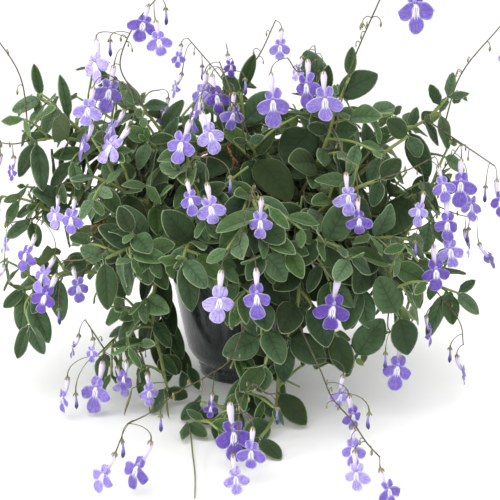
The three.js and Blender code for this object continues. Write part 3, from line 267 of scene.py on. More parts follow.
# A long stalk that has dropped its flowers and lies on the floor, by stem
BARE_STALKS = {
  "floor_left": [[-42, -138, 9], [-38, -150, 6], [-35, -172, 2.5], [-31, -204, 1.6], [-29, -234, 1.6]],
}

# Flower sprays: the stem, axis (0 is the stem, 1 its first side shoot) and share along it where each
# starts, then its stalks. A stalk has its route, its flowers as [x, y, z, width, turn, tilt, lean], in
# degrees to the right, upward and about the way that it faces, and its buds as [x, y, z].
SPRAYS = {
  "crown_left": [["crown_left", 0, 0.93],
    [[[-92, -34, 256], [-98, -44, 276], [-86, -44, 304], [-66, -46, 326]], [[-76, -60, 297, 24, -6, 0, 4],
     [-64, -68, 286, 22, 12, -6, -4], [-112, -62, 270, 26, -34, -8, -20], [-106, -70, 250, 24, -8, -8, 4]],
     [[-104, -48, 280], [-60, -50, 304]]],
    [[[-94, -54, 248], [-104, -76, 262]], [[-113, -94, 234, 24, -12, -6, 0],
     [-118, -98, 210, 22, -50, -6, 0], [-99, -82, 222, 20, -60, 0, 14], [-96, -100, 209, 24, -62, 0, 30]],
     [[-106, -86, 200]]],
    [[[-80, -6, 252], [-72, 6, 254]], [[-68, 14, 229, 19, -20, -8, 0]]]],
  "crown_middle": [["crown_middle", 0, 0.93],
    [[[-22, 8, 268], [-48, 16, 298]], [[-56, 18, 278, 16, -20, -6, 0], [-60, 20, 254, 16, -70, 0, 0]],
     [[-36, 18, 262]]],
    [[[-12, -4, 276], [-14, -8, 292]], [[-10, -16, 270, 15, 30, 0, 0]]],
    [[[12, -18, 280], [27, -24, 310]], [[31, -32, 284, 20, -8, -6, 0]]]],
  "crown_front": [["crown_middle", 1, 0.9],
    [[[-6, -62, 246], [-18, -56, 276]], [[-34, -60, 248, 22, -24, -4, 6], [-19, -62, 246, 22, 20, -2, -6],
     [-6, -76, 234, 19, 4, -12, 0]], [[2, -60, 250]]]],
  "crown_right": [["crown_right", 0, 0.9],
    [[[60, -44, 266], [56, -64, 288]], [[42, -58, 268, 14, -50, 6, 0], [48, -86, 256, 24, -10, 4, 0],
     [63, -96, 246, 25, 8, 4, 0]]],
    [[[44, -60, 268], [34, -84, 278]], [[25, -98, 242, 27, 0, -4, -8]]]],
  "front_left_high": [["crown_middle", 1, 0.6],
    [[[-10, -82, 240], [-28, -98, 260]], [[-42, -104, 232, 22, -62, 0, 34],
     [-46, -120, 212, 23, -18, -4, 6], [-26, -118, 217, 24, 6, -6, -6]]]],
  "front_left": [["front_left", 0, 0.9],
    [[[-36, -124, 206], [-24, -130, 208]], [[-38, -142, 176, 18, -12, -6, -6],
     [-21, -144, 171, 21, 8, -6, -8]], [[-8, -136, 182]]]],
  "front_middle": [["front_middle", 0, 0.72],
    [[[8, -150, 188], [-2, -158, 150]], [[14, -154, 163, 20, 2, -14, 0], [-13, -166, 110, 24, -4, -4, -4],
     [11, -168, 111, 25, 6, -4, 0]]]],
  "inner_right": [["inner_right", 0, 0.85],
    [[[72, -92, 220], [74, -118, 208]], [[73, -132, 178, 20, -8, -4, 4], [86, -136, 160, 20, 12, -4, -4]]],
    [[[80, -90, 268], [92, -140, 312], [100, -176, 338]], [[104, -188, 302, 27, 6, -10, 0]]]],
  "front_right_low": [["front_right_low", 0, 0.62],
    [[[50, -134, 134], [61, -140, 130]], [[68, -150, 99, 26, 0, -4, 4]]]],
  "right_high": [["mid_right", 0, 0.96],
    [[[172, -66, 212]], [[168, -90, 177, 27, 2, -4, 4], [182, -72, 160, 22, 24, -6, 0]]]],
  "right_middle": [["front_right", 0, 0.96],
    [[[126, -98, 196], [144, -102, 206]], [[147, -110, 180, 21, -14, -4, -6],
     [132, -114, 164, 18, -30, 0, 0], [154, -122, 155, 22, 4, 4, 0]]]],
  "right_low": [["low_right_front", 0, 0.95],
    [[[138, -104, 154], [148, -108, 166]], [[158, -120, 134, 24, 14, -4, -14],
     [139, -128, 120, 24, -8, -4, 4]], [[128, -120, 132]]]],
  "right_edge": [["mid_right", 0, 0.86],
    [[[184, -30, 150], [198, -36, 150]], [[194, -48, 124, 20, 60, 0, -20], [206, -40, 110, 20, 110, 0, 0]],
     [[186, -54, 130]]]],
  "right_long": [["high_right", 0, 0.95],
    [[[174, -50, 214], [198, -74, 196]], [[201, -84, 165, 22, 20, -6, 0]], [[190, -80, 168]]],
    [[[172, -56, 266], [194, -80, 302]], [[198, -90, 274, 20, 20, -10, 0]]]],
  "right_bottom": [["low_right_front", 1, 0.9],
    [[[112, -112, 76], [118, -110, 70]], [[122, -114, 39, 25, 4, -4, 6]], [[110, -116, 44]]]],
  "right_side": [["low_right", 0, 0.95],
    [[[180, -64, 66], [184, -66, 46]], [[186, -68, 20, 19, 76, 0, 0]], [[172, -70, 32]]],
    [[[166, -62, 82]], [[156, -66, 54, 18, 60, -10, 0]]]],
  "trail_right": [["hang_front_right", 0, 0.9],
    [[[58, -140, 52], [64, -168, 42], [74, -196, 38], [80, -226, 36], [86, -242, 34]],
     [[78, -132, 26, 18, 30, 0, 10], [80, -156, 20, 18, 14, 0, 0], [76, -204, 16, 19, 6, 0, 0],
     [74, -234, 15, 18, 10, 0, 0], [88, -252, 14, 16, 20, 0, 0]], [[92, -160, 14]]]],
  "trail_front": [["floor_front", 0, 0.72],
    [[[18, -146, 36], [8, -168, 52], [0, -196, 50], [-2, -230, 38]], [[-7, -190, 20, 26, -4, 0, -4],
     [9, -212, 17, 21, 8, 0, 0], [-5, -240, 15, 18, 0, 0, 0]], [[26, -156, 16]]]],
  "trail_left": [["hang_front", 0, 0.7],
    [[[-6, -132, 62], [-24, -144, 50], [-46, -158, 42], [-60, -186, 40], [-74, -212, 42]],
     [[-68, -226, 17, 22, -40, 0, 20], [-88, -236, 16, 20, -44, 0, 20], [-22, -132, 16, 14, 6, 0, 0]],
     [[-58, -164, 14], [-80, -200, 12]]]],
  "low_left_front": [["hang_left", 1, 0.8],
    [[[-118, -86, 44], [-122, -94, 46]], [[-112, -108, 20, 26, -6, 0, 0], [-98, -98, 20, 19, 24, 0, 0],
     [-144, -112, 16, 20, -64, 0, 0]], [[-130, -114, 10]]],
    [[[-128, -78, 72]], [[-137, -86, 48, 14, -60, 0, 0], [-122, -92, 48, 14, -30, 0, 0]]]],
  "low_left_pale": [["hang_left", 0, 0.78],
    [[[-86, -98, 50]], [[-74, -116, 20, 20, 6, 0, 0], [-92, -110, 30, 18, -14, -4, 0]]]],
  "left_middle": [["low_left_front", 0, 0.95],
    [[[-116, -122, 132], [-134, -118, 130]], [[-142, -128, 98, 24, -16, -4, 4],
     [-126, -114, 104, 20, 24, -4, 0]], [[-140, -112, 78]]]],
  "left_upper": [["mid_left", 1, 0.9],
    [[[-162, -80, 152]], [[-169, -90, 124, 22, -44, -4, 10], [-154, -96, 108, 22, -30, -4, 14]]],
    [[[-180, -76, 152], [-190, -74, 150]], [[-194, -62, 128, 16, -70, 0, 0],
     [-196, -84, 104, 20, -76, 0, 24]]]],
  "left_inner": [["mid_left_front", 0, 0.9],
    [[[-126, -98, 186]], [[-131, -106, 156, 21, -8, -4, 10], [-146, -92, 158, 18, -30, 0, 0]]]],
  "left_edge": [["high_left", 1, 0.9],
    [[[-182, -56, 212], [-198, -60, 214]], [[-201, -60, 186, 20, -50, 0, 0],
     [-186, -66, 190, 14, -40, 0, 0], [-208, -68, 166, 18, -60, 0, 0]]],
    [[[-176, -52, 264], [-196, -60, 302]], [[-204, -66, 276, 20, -60, 0, 0]]]],
  "back_left": [["back_left", 0, 0.9],
    [[[-124, 160, 150], [-130, 170, 152]], [[-140, 174, 122, 24, -140, -6, 4],
     [-118, 184, 113, 24, -160, -6, -4]]]],
  "back_middle": [["back_middle", 0, 0.85],
    [[[-4, 168, 152], [-8, 176, 154]], [[-20, 186, 124, 25, 172, -6, 0], [8, 188, 115, 24, 190, -6, 0]]]],
  "back_right": [["back_right", 0, 0.9],
    [[[132, 156, 150], [138, 166, 152]], [[149, 170, 122, 24, 140, -6, 0],
     [126, 182, 113, 24, 160, -6, 0]]]],
  "back_high": [["crown_middle", 2, 0.9],
    [[[-20, 98, 268], [-26, 108, 276]], [[-38, 114, 248, 23, 190, -6, 0],
     [-12, 120, 242, 23, 170, -6, 0]]]],
}

# Small moves that a stalk, flower or bud may have made to stay clear of its neighbours
SHIFTS = [[0, 0, 0], [0, -4, 0], [0, 0, 4], [0, 4, 0], [4, 0, 0], [-4, 0, 0], [0, -8, 0], [0, 0, -4],
  [0, -8, 5], [6, -6, 0], [-6, -6, 0], [0, -13, 0], [0, 0, 9], [8, 0, 6], [-8, 0, 6], [0, -18, 4]]

norm = np.linalg.norm


def vector(xyz):
    return np.array(xyz, dtype=float)


def unit(v):
    return v / (norm(v) or 1.0)


def drawer(*seeds):
    """Gives random numbers from 0 to 1 that are the same each run"""
    state = 17
    for seed in seeds:
        state = (state * 7919 + seed + 1) % LARGEST
    state = state or 1

    def draw():
        nonlocal state
        state = state * 48271 % LARGEST
        return state / LARGEST

    draw()
    return draw


def any_way(draw):
    """A vector of three numbers from -0.5 to 0.5"""
    return vector([draw() - 0.5, draw() - 0.5, draw() - 0.5])


def stacked(*values):
    """Arrays or numbers as the last axis of one array"""
    return np.stack(np.broadcast_arrays(*values), axis=-1)


def spread(values, count):
    """One value, or some spread evenly, at so many places"""
    return np.interp(np.linspace(0, 1, count), np.linspace(0, 1, np.size(values)), np.atleast_1d(values))


def curve_points(route, steps):
    """A smooth line through the points of a route, with some steps in each span"""
    route = vector(route)
    ends = [2 * route[0] - route[1], *route, 2 * route[-1] - route[-2]]
    points = []
    for i in range(len(route) - 1):
        before, start, end, after = ends[i:i + 4]
        leave, arrive = (end - before) / 2, (after - start) / 2
        for step in range(steps):
            t = step / steps
            points.append(start + leave * t + (3 * (end - start) - 2 * leave - arrive) * t ** 2
                          + (2 * (start - end) + leave + arrive) * t ** 3)
    points.append(route[-1])
    return np.array(points)


def length_of(points):
    return float(norm(np.diff(points, axis=0), axis=1).sum())


def along(points, distance):
    """The place and heading at a distance along a line of points"""
    rest = distance
    for i in range(len(points) - 1):
        step = points[i + 1] - points[i]
        span = norm(step)
        if rest <= span or i + 2 == len(points):
            return points[i] + step * (rest / span), step / span
        rest -= span


def turned(v, axis, angle):
    """A vector turned about an axis"""
    return (v * math.cos(angle) + np.cross(axis, v) * math.sin(angle)
            + axis * np.dot(axis, v) * (1 - math.cos(angle)))


class Solid:
    """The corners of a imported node, in millimetres, which show the places that its parts took"""

    def __init__(self, name):
        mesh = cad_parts[name].data
        flat = np.zeros(3 * len(mesh.vertices))
        mesh.vertices.foreach_get("co", flat)
        self.corners = np.unique(np.round(flat.reshape(-1, 3) / METRES, 3), axis=0)

    def distances(self, point):
        return norm(self.corners - point, axis=1)

    def has(self, point, far=MATCH):
        return self.distances(point).min() < far

    def ring_at(self, point, radius):
        """How many corners lie on a ring of that radius round a point"""
        return int((np.abs(self.distances(point) - radius) < 0.02).sum())


def axes_of(stem, steps):
    """The centre lines of a stem and its side shoots"""
    foot, route, *shoots = stem
    route = [[*foot, SOIL_TOP + 2], *route]
    main = curve_points(route, SOLID_STEPS)
    starts = [along(main, share * length_of(main))[0] for share, *_ in shoots]
    return [curve_points(route, steps),
            *(curve_points([start, *shoot[1:]], steps) for start, shoot in zip(starts, shoots))]


class Leaf:
    """Where a leaf starts, the way it points, its face's normal, and its size"""

    def __init__(self, base, point, normal, length, width, curl, fold, offset=0.0, age=1.0, tone=0.5):
        self.base, self.point, self.normal = base, point, normal
        self.side = np.cross(point, normal)
        self.length, self.width, self.curl, self.fold = length, width, curl, fold
        self.offset, self.age, self.tone, self.shown = offset, age, tone, False

    def place(self, u, v):
        """A point of the leaf's middle face: u along it, v across it, both may be arrays"""
        u, v = vector(u)[..., None], vector(v)[..., None]
        half = self.width / 2 * v
        return (self.base + self.point * self.length * u + self.side * half
                + self.normal * (np.abs(half) * self.fold - self.length * self.curl * u ** 2))


def draw_leaf(base, heading, offset, angle, size, draw, attempt, loose=0.0):
    """One way in which a leaf may grow at a joint. A loose one hangs, turns and folds more."""
    outward = unit(vector([base[0], base[1], 0]))
    side = unit(np.cross(heading, outward if abs(heading[2]) > 0.92 else UP))
    lift = np.cross(side, heading)
    spread = 58 + 24 * (draw() - 0.5)
    if attempt > 3:
        spread += 30 * (draw() - 0.5)
    spread = math.radians(spread)
    phase = angle + math.radians((34 + 8 * attempt) * (draw() - 0.5))
    point = (heading * math.cos(spread) + side * math.sin(spread) * math.cos(phase)
             + lift * math.sin(spread) * math.sin(phase))
    point = unit(point - (LEAF_DROOP + 0.22 * loose) * UP)
    light = outward * 0.85 + UP * 0.75
    wide = 0.7 + 0.8 * loose
    light = light + [wide * (draw() - 0.5), wide * (draw() - 0.5) - 0.2, 0.5 * (draw() - 0.5)]
    normal = unit(light - point * np.dot(light, point))
    length = size * (0.86 + 0.28 * draw()) * (1 - 0.028 * attempt)
    width = length * LEAF_SHAPE * (0.9 + 0.2 * draw())
    curl = 0.08 + 0.14 * draw()
    fold = 0.06 + 0.16 * draw()
    if loose:
        width *= 1 - 0.28 * loose * draw()
        curl += 0.1 * loose * draw()
        fold += 0.3 * loose * draw()
    return Leaf(base, point, normal, length, width, curl, fold, offset)


def shown_leaf(base, tip, share, turn):
    """A leaf whose tip is known"""
    point = tip - base
    length = float(norm(point))
    point, turn = point / length, math.radians(turn)
    light = vector([math.sin(turn), -math.cos(turn), SHOWN_LIGHT])
    normal = unit(light - point * np.dot(light, point))
    leaf = Leaf(base, point, normal, length, length * share, SHOWN_CURL, SHOWN_FOLD)
    leaf.shown = True
    return leaf


def solid_leaves(solid, axes, number, rows):
    """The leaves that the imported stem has, in opposite pairs from each tip back"""
    shown = {tuple(row[:3]): (vector(row[3:6]), *row[6:]) for row in rows}
    leaves = []
    for axis, points in enumerate(axes):
        total = length_of(points)
        bare = max(24, 0.2 * total) if axis == 0 else 9
        most = STEM_PAIRS if axis == 0 else SHOOT_PAIRS
        for pair in range(min(most, 1 + math.floor((total - 1 - bare) / LEAF_STEP))):
            base, heading = along(points, total - 1 - pair * LEAF_STEP)
            size = LEAF_LENGTH * (0.66 if pair == 0 else min(1.06, 0.86 + 0.1 * pair))
            for member in range(2):
                draw = drawer(number, axis, pair, member)
                angle = math.pi / 2 * pair + math.pi * member
                tip, share, turn = shown.get((axis, pair, member), (None, 0, 0))
                places = [] if tip is None else [tip + vector(shift) for shift in SHIFTS]
                tries = [shown_leaf(base, place, share, turn) for place in places]
                tries += [draw_leaf(base, heading, 0.0, angle, size, draw, i) for i in range(LEAF_TRIES)]
                leaves += [leaf for leaf in tries if solid.has(leaf.place(1, 0))][:1]
    return leaves


def flower_frame(turn, tilt, lean):
    """The way a flower faces, its upward line and its right-hand line"""
    turn, tilt, lean = (math.radians(value) for value in (turn, tilt, lean))
    facing = vector([math.sin(turn) * math.cos(tilt), -math.cos(turn) * math.cos(tilt), math.sin(tilt)])
    rise = turned(unit(UP - facing * facing[2]), facing, -lean)
    return facing, rise, -np.cross(facing, rise)


class Flower:
    """A flower's centre, width and lines, and the joint of the stalk that it hangs on"""

    def __init__(self, row, shift):
        x, y, z, self.width, turn, tilt, lean = row
        self.centre = vector([x, y, z]) + shift
        self.facing, self.rise, self.right = flower_frame(turn, tilt, lean)
        self.top = self.place([0, TUBE_UP, -TUBE_BACK])

    def loosen(self, size, draw):
        """Turns the flower a little about the end of its tube, so that no two hang alike"""
        far = size.flower_turn
        for axis, share in ((UP, 1.0), (self.right, 0.8), (self.facing, 0.6)):
            angle = far * share * (draw() - 0.5)
            lines = self.facing, self.rise, self.right
            self.facing, self.rise, self.right = (turned(line, axis, angle) for line in lines)
        self.width *= size.flower_size * (0.93 + 0.14 * draw())
        self.centre = self.top - self.width * (TUBE_UP * self.rise - TUBE_BACK * self.facing)

    def place(self, shares):
        shares = vector(shares) * self.width
        return (self.centre + shares[..., 0:1] * self.right + shares[..., 1:2] * self.rise
                + shares[..., 2:3] * self.facing).reshape(shares.shape)


class Bud:
    def __init__(self, row, shift):
        self.tip = vector(row) + shift
        self.top = self.tip + UP * BUD_LENGTH


def hanging_point(joints, top, lift=0.6):
    """The joint that something hangs from: near it, and rather above than below"""
    costs = [norm(p - top) - lift * (p[2] - top[2]) for p in joints]
    return int(np.argmin(costs))


def joints_of(line):
    total = length_of(line)
    start = min(JOINT_START, 0.5 * total)
    count = math.floor((total - start - 0.5) / JOINT_STEP) + 1
    return [along(line, total - 0.5 - i * JOINT_STEP)[0] for i in range(count)]


def seat_points(seat, heading, radius, toward):
    leave = toward - seat
    leave = unit(leave - heading * np.dot(leave, heading))
    return [seat + leave * far for far in (radius + GAP + 0.1, radius + 5)]


def stalk_lines(seat, heading, radius, route, forks):
    """Each line that a stalk may take, rough as the solid has it and smooth as it is drawn"""
    for shift in SHIFTS:
        shares = [1] * (len(route) - 1) + [0.5]
        points = [vector(p) + vector(shift) * share for p, share in zip(route, shares)]
        base, first = seat_points(seat, heading, radius, points[0])
        if forks:
            points = [forks[hanging_point(forks, points[0], 0)], *points]
            yield curve_points(points, SOLID_STEPS), curve_points(points, FINE_STEPS)
        else:
            points = [first, *points]
            yield (np.vstack([base, curve_points(points, SOLID_STEPS)]),
                   np.vstack([base, curve_points(points, FINE_STEPS)]))


def best_line(solid, lines):
    """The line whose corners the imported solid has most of"""
    return max(lines, key=lambda pair: sum(min(solid.ring_at(p, STALK_RADIUS), 3) for p in pair[0][:-1]))


def place_hung(solid, make, row, joints):
    """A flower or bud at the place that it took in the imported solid, on a joint of its own"""
    for shift in SHIFTS:
        hung = make(row, vector(shift))
        if isinstance(hung, Flower):
            found = solid.has(hung.place(PETAL_TIP))
        else:
            found = solid.ring_at(hung.tip, BUD_RADIUS / 2) > 1
        if found:
            hung.joint = joints.pop(hanging_point(joints, hung.top))
            return hung
    raise RuntimeError(f"the packed solid has no place for {row}")


def stem_radius(axis, share):
    base, tip = (STEM_BASE, STEM_TIP) if axis == 0 else (SHOOT_BASE, SHOOT_TIP)
    return base + (tip - base) * share


def plan_spray(name, spray, axes_by_stem):
    """A spray's stalks, each with its smooth line, flowers and buds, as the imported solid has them"""
    solid = Solid(f"spray_{name}")
    (stem, axis, share), *rows = spray
    points = axes_by_stem[stem][axis]
    seat, heading = along(points, share * length_of(points))
    forks, stalks = None, []
    for route, flowers, *buds in rows:
        rough, smooth = best_line(solid, stalk_lines(seat, heading, stem_radius(axis, share), route, forks))
        joints = joints_of(rough)
        forks = forks or joints
        stalks.append((smooth, [place_hung(solid, Flower, row, joints) for row in flowers],
                       [place_hung(solid, Bud, row, joints) for row in sum(buds, [])]))
    return stalks


def put(name, data):
    """A new object in the scene"""
    thing = bpy.data.objects.new(name, data)
    bpy.context.scene.collection.objects.link(thing)
    return thing


class Skin:
    """Collects a piece's points and faces, in millimetres. Each point keeps three numbers that say where
    on its leaf or petal it lies, its age, and how far it is from the margin."""

    def __init__(self):
        self.points, self.spots, self.faces, self.finishes = [], [], [], []
        self.count = 0

    def add(self, points, spots, blocks, finish):
        """Adds points with blocks of faces, each block with one number of corners"""
        points = vector(points).reshape(-1, 3)
        points[:, 2] = np.maximum(points[:, 2], FLOOR_CLEAR)
        self.points.append(points)
        self.spots.append(np.broadcast_to(vector(spots), (len(points), 5)))
        for faces in blocks:
            self.faces.append(np.asarray(faces, int) + self.count)
            self.finishes.append(np.broadcast_to(np.asarray(finish, int), (len(faces),)))
        self.count += len(points)

    def piece(self, name, materials, replaced):
        """The piece as a smooth mesh object that rides on the root body"""
        mesh = bpy.data.meshes.new(name)
        faces = [tuple(face) for block in self.faces for face in block.tolist()]
        mesh.from_pydata((np.vstack(self.points) * METRES).tolist(), [], faces)
        mesh.polygons.foreach_set("material_index", np.concatenate(self.finishes).astype(np.int32))
        mesh.polygons.foreach_set("use_smooth", np.ones(len(faces), dtype=bool))
        spots = np.vstack(self.spots)
        where = mesh.attributes.new("spot", "FLOAT_VECTOR", "POINT")
        where.data.foreach_set("vector", spots[:, :3].ravel())
        for column, share in ((3, "age"), (4, "margin")):
            kept = mesh.attributes.new(share, "FLOAT", "POINT")
            kept.data.foreach_set("value", spots[:, column].copy())
        for material in materials:
            mesh.materials.append(material)
        mesh.update()
        thing = put(name, mesh)
        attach(thing, "root")
        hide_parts(replaced)
        return thing


# What the points of the pot and the soil keep
PLAIN_SPOT = (0, 0, 0.5, 1, 0)


def ring_faces(count, sides):
    """The faces of a closed form: rings of points, and after them a point for each end"""
    k = np.arange(sides)
    after = (k + 1) % sides
    row = np.arange(count - 1)[:, None] * sides
    quads = stacked(row + k, row + after, row + after + sides, row + k + sides).reshape(-1, 4)
    last, ends = (count - 1) * sides, count * sides
    return [quads, np.vstack([stacked(after, k, ends), stacked(last + k, last + after, ends + 1)])]


def tube(skin, points, radii, sides, finish, tone=0.5, age=1.0, lengthwise=(0, 1)):
    """A round closed rod along points. Its radii and what its points keep are spread from end to end."""
    points = vector(points)
    count = len(points)
    headings = np.gradient(points, axis=0)
    headings /= norm(headings, axis=1)[:, None]
    across = np.cross(headings[0], UP if abs(headings[0][2]) < 0.9 else vector([1, 0, 0]))
    turns = np.arange(sides) * 2 * math.pi / sides
    rings, shares = [], spread(lengthwise, count)
    for point, heading, radius in zip(points, headings, spread(radii, count)):
        across = unit(across - heading * np.dot(across, heading))
        other = np.cross(heading, across)
        rings.append(point + radius * (np.cos(turns)[:, None] * across + np.sin(turns)[:, None] * other))
    spots = np.zeros((count * sides + 2, 5))
    spots[:, 2:4] = tone, age
    spots[:-2, 0] = np.repeat(shares, sides)
    spots[:-2, 1] = np.tile(np.arange(sides) / sides, count)
    spots[-2:, 0] = shares[0], shares[-1]
    skin.add(np.vstack([*rings, points[0], points[-1]]), spots, ring_faces(count, sides), finish)


def shell(skin, top, under, spots, finishes):
    """A closed thin shell from two grids of points that share their border"""
    rows, columns = top.shape[:2]
    size = rows * columns
    index = np.arange(size).reshape(rows, columns)
    low = index.copy()
    low[1:-1, 1:-1] = size + np.arange((rows - 2) * (columns - 2)).reshape(rows - 2, columns - 2)
    quads = [stacked(grid[:-1, :-1], grid[:-1, 1:], grid[1:, 1:], grid[1:, :-1]).reshape(-1, 4)
             for grid in (index, low)]
    quads[1] = quads[1][:, [0, 3, 2, 1]]
    points = np.vstack([top.reshape(-1, 3), under[1:-1, 1:-1].reshape(-1, 3)])
    marks = np.vstack([spots.reshape(-1, 5), spots[1:-1, 1:-1].reshape(-1, 5)])
    skin.add(points, marks, [np.vstack(quads)], np.repeat(finishes, len(quads[0])))


# Leaf rows from the petiole to the tip, and columns across; the rows run out along the side veins
LEAF_ROWS = vector([0, 0.045, 0.09, 0.14, 0.2, 0.27, 0.34, 0.42, 0.5, 0.58, 0.66, 0.74, 0.82, 0.9, 0.965, 1])
LEAF_COLUMNS = vector([-1, -0.84, -0.56, -0.26, 0, 0.26, 0.56, 0.84, 1])
SMALL_ROWS = vector([0, 0.08, 0.2, 0.38, 0.58, 0.78, 0.92, 1.0])
SMALL_COLUMNS = vector([-1, -0.6, 0, 0.6, 1])
PETIOLE = 0.09
FINE_LEAF = 21


def leaf_oval(u):
    """The half width of a leaf's blade at shares of its length, 1 at the widest"""
    t = np.clip((u - PETIOLE) / (1 - PETIOLE), 0, 1)
    return 2.29 * t ** 0.53 * (1 - t) ** 0.68


def leaf_half(u, width, stalk):
    """Half the width of a leaf at shares of its length: a slim petiole, then a blunt oval"""
    oval = width / 2 * leaf_oval(u)
    return np.sqrt(oval ** 2 + (stalk * np.clip(1.12 - 1.12 * u, 0.12, 1)) ** 2)


def add_leaf(skin, leaf, size, draw, finishes):
    """A felted leaf with a sunk midrib, quilted side veins and a rolled margin"""
    fine = leaf.length > FINE_LEAF
    rows = LEAF_ROWS if fine else SMALL_ROWS
    v = (LEAF_COLUMNS if fine else SMALL_COLUMNS)[None, :]
    r = rows[:, None]
    on_blade = np.clip((r - PETIOLE) / (1 - PETIOLE), 0, 1)
    u = r + size.vein_sweep * np.abs(v) ** 1.4 * np.sin(math.pi * on_blade)
    stalk = size.petiole_width / 2 * (0.55 + 0.45 * leaf.length / LEAF_LENGTH)
    half = leaf_half(u, leaf.width, stalk) * v
    blade = np.clip((u - PETIOLE) / 0.1, 0, 1) * np.clip((1 - u) / 0.06, 0, 1)
    fold = (leaf.fold + size.leaf_fold * draw()) * (np.sqrt(half ** 2 + 1.4) - 1.18)
    wave_turn, wave_size = 2 * math.pi * draw(), size.margin_wave * (0.4 + 1.2 * draw())
    twist = size.leaf_twist * (draw() - 0.5)
    height = fold - leaf.length * leaf.curl * u ** 2
    height = height + wave_size * v ** 2 * np.sin(9 * u + wave_turn + np.sign(v)) + twist * half * u
    height = height - size.margin_roll * np.abs(v) ** 5 * blade
    bend = size.leaf_sway * (draw() - 0.5) * leaf.length * (u ** 2 - 0.35 * u)
    thick = size.leaf_thickness * (1 + 0.9 * np.clip(1 - u / 0.22, 0, 1))
    thick = thick * np.clip(1.04 - np.abs(v) ** 3, 0.05, 1) * (0.6 + 0.4 * min(1, leaf.length / 30))
    relief = np.zeros_like(u)
    if fine:
        veins = np.where(np.arange(len(rows)) % 2 == 0, 1.0, -1.0)[:, None]
        relief = size.quilting * veins * (1 - v ** 2) * np.abs(v) ** 0.4 * blade
        relief = relief - size.midrib_depth * np.exp(-(v / 0.12) ** 2) * blade
    middle = (leaf.base + leaf.point * (leaf.length * u)[..., None] + leaf.side * (half + bend)[..., None]
              + leaf.normal * height[..., None])
    middle[0] += leaf.point * leaf.offset
    top = middle + leaf.normal * (thick / 2 + relief)[..., None]
    under = middle + leaf.normal * (relief * 0.6 - thick / 2)[..., None]
    to_side = (1 - np.abs(v)) * np.abs(leaf_half(u, leaf.width, stalk))
    to_tip = (1 - u) * leaf.length
    along_veins = np.linspace(0, 1, len(rows))[:, None]
    spots = stacked(along_veins, v, leaf.tone, leaf.age, np.minimum(to_side, to_tip))
    shell(skin, top, under, spots, finishes)


# The lobes of a flower's right half, in shares of its width from its middle. Each row runs across a
# lobe, from its inner or upper edge to its other edge, and the rows go from the mouth to the lobe's tip.
UPPER_LOBE = [[0.0, 0.2, 0.05, 0.16], [0.0, 0.3, 0.15, 0.2], [0.01, 0.39, 0.22, 0.27],
              [0.04, 0.46, 0.24, 0.38], [0.09, 0.5, 0.19, 0.465]]
SIDE_LOBE = [[0.0, 0.23, 0.0, 0.05], [0.12, 0.24, 0.08, -0.08], [0.25, 0.215, 0.18, -0.17],
             [0.37, 0.155, 0.3, -0.215], [0.455, 0.065, 0.41, -0.175], [0.485, -0.01, 0.465, -0.09]]
FRONT_LOBE = [[-0.035, 0.23, 0.035, 0.23], [-0.075, 0.06, 0.075, 0.06], [-0.11, -0.09, 0.11, -0.09],
              [-0.19, -0.2, 0.19, -0.2], [-0.23, -0.32, 0.23, -0.32], [-0.195, -0.44, 0.195, -0.44],
              [-0.08, -0.525, 0.08, -0.525]]
LOBE_COLUMNS = vector([-1, -0.8, -0.4, 0, 0.4, 0.8, 1])
MOUTH = (0.0, 0.225)
TUBE_LINE = [[0, 0.2, -0.05], [0, 0.29, -0.16], [0, 0.46, -0.27], [0, 0.68, -0.34],
             [0, TUBE_UP, -TUBE_BACK]]
THREAD_WIDTHS = vector([0.9, 0.75, 0.75, 1.0, 1.5])
STALK_WIDTHS = vector([0.55, 0.38])
BUD_WIDTHS = [0.7, 0.8, 0.85, 0.95, 1.2, 1.55, 1.5, 0.35]
GRAIN_WIDTHS = vector([0.5, 0.95, 0.8, 0.15])
SEPAL_WIDTHS = [0.5, 0.62, 0.45, 0.08]
TUBE_WIDTHS = vector([0.07, 0.08, 0.07, 0.066, 0.07, 0.082, 0.098, 0.1, 0.06])


def face_height(x, y):
    """How far forward a flower's face lies, in shares of its width"""
    mouth = -0.16 * np.exp(-(x / 0.05) ** 2 - ((y - MOUTH[1]) / 0.05) ** 2)
    upper = -0.42 * np.clip(y - 0.2, 0, 1) ** 1.25
    lower = 0.24 * np.clip(-y, 0, 1) ** 1.25 - 0.3 * np.clip(-y - 0.4, 0, 1) ** 1.3
    sides = -0.2 * np.clip(np.abs(x) - 0.16, 0, 1) ** 1.2
    return mouth + upper + lower + sides


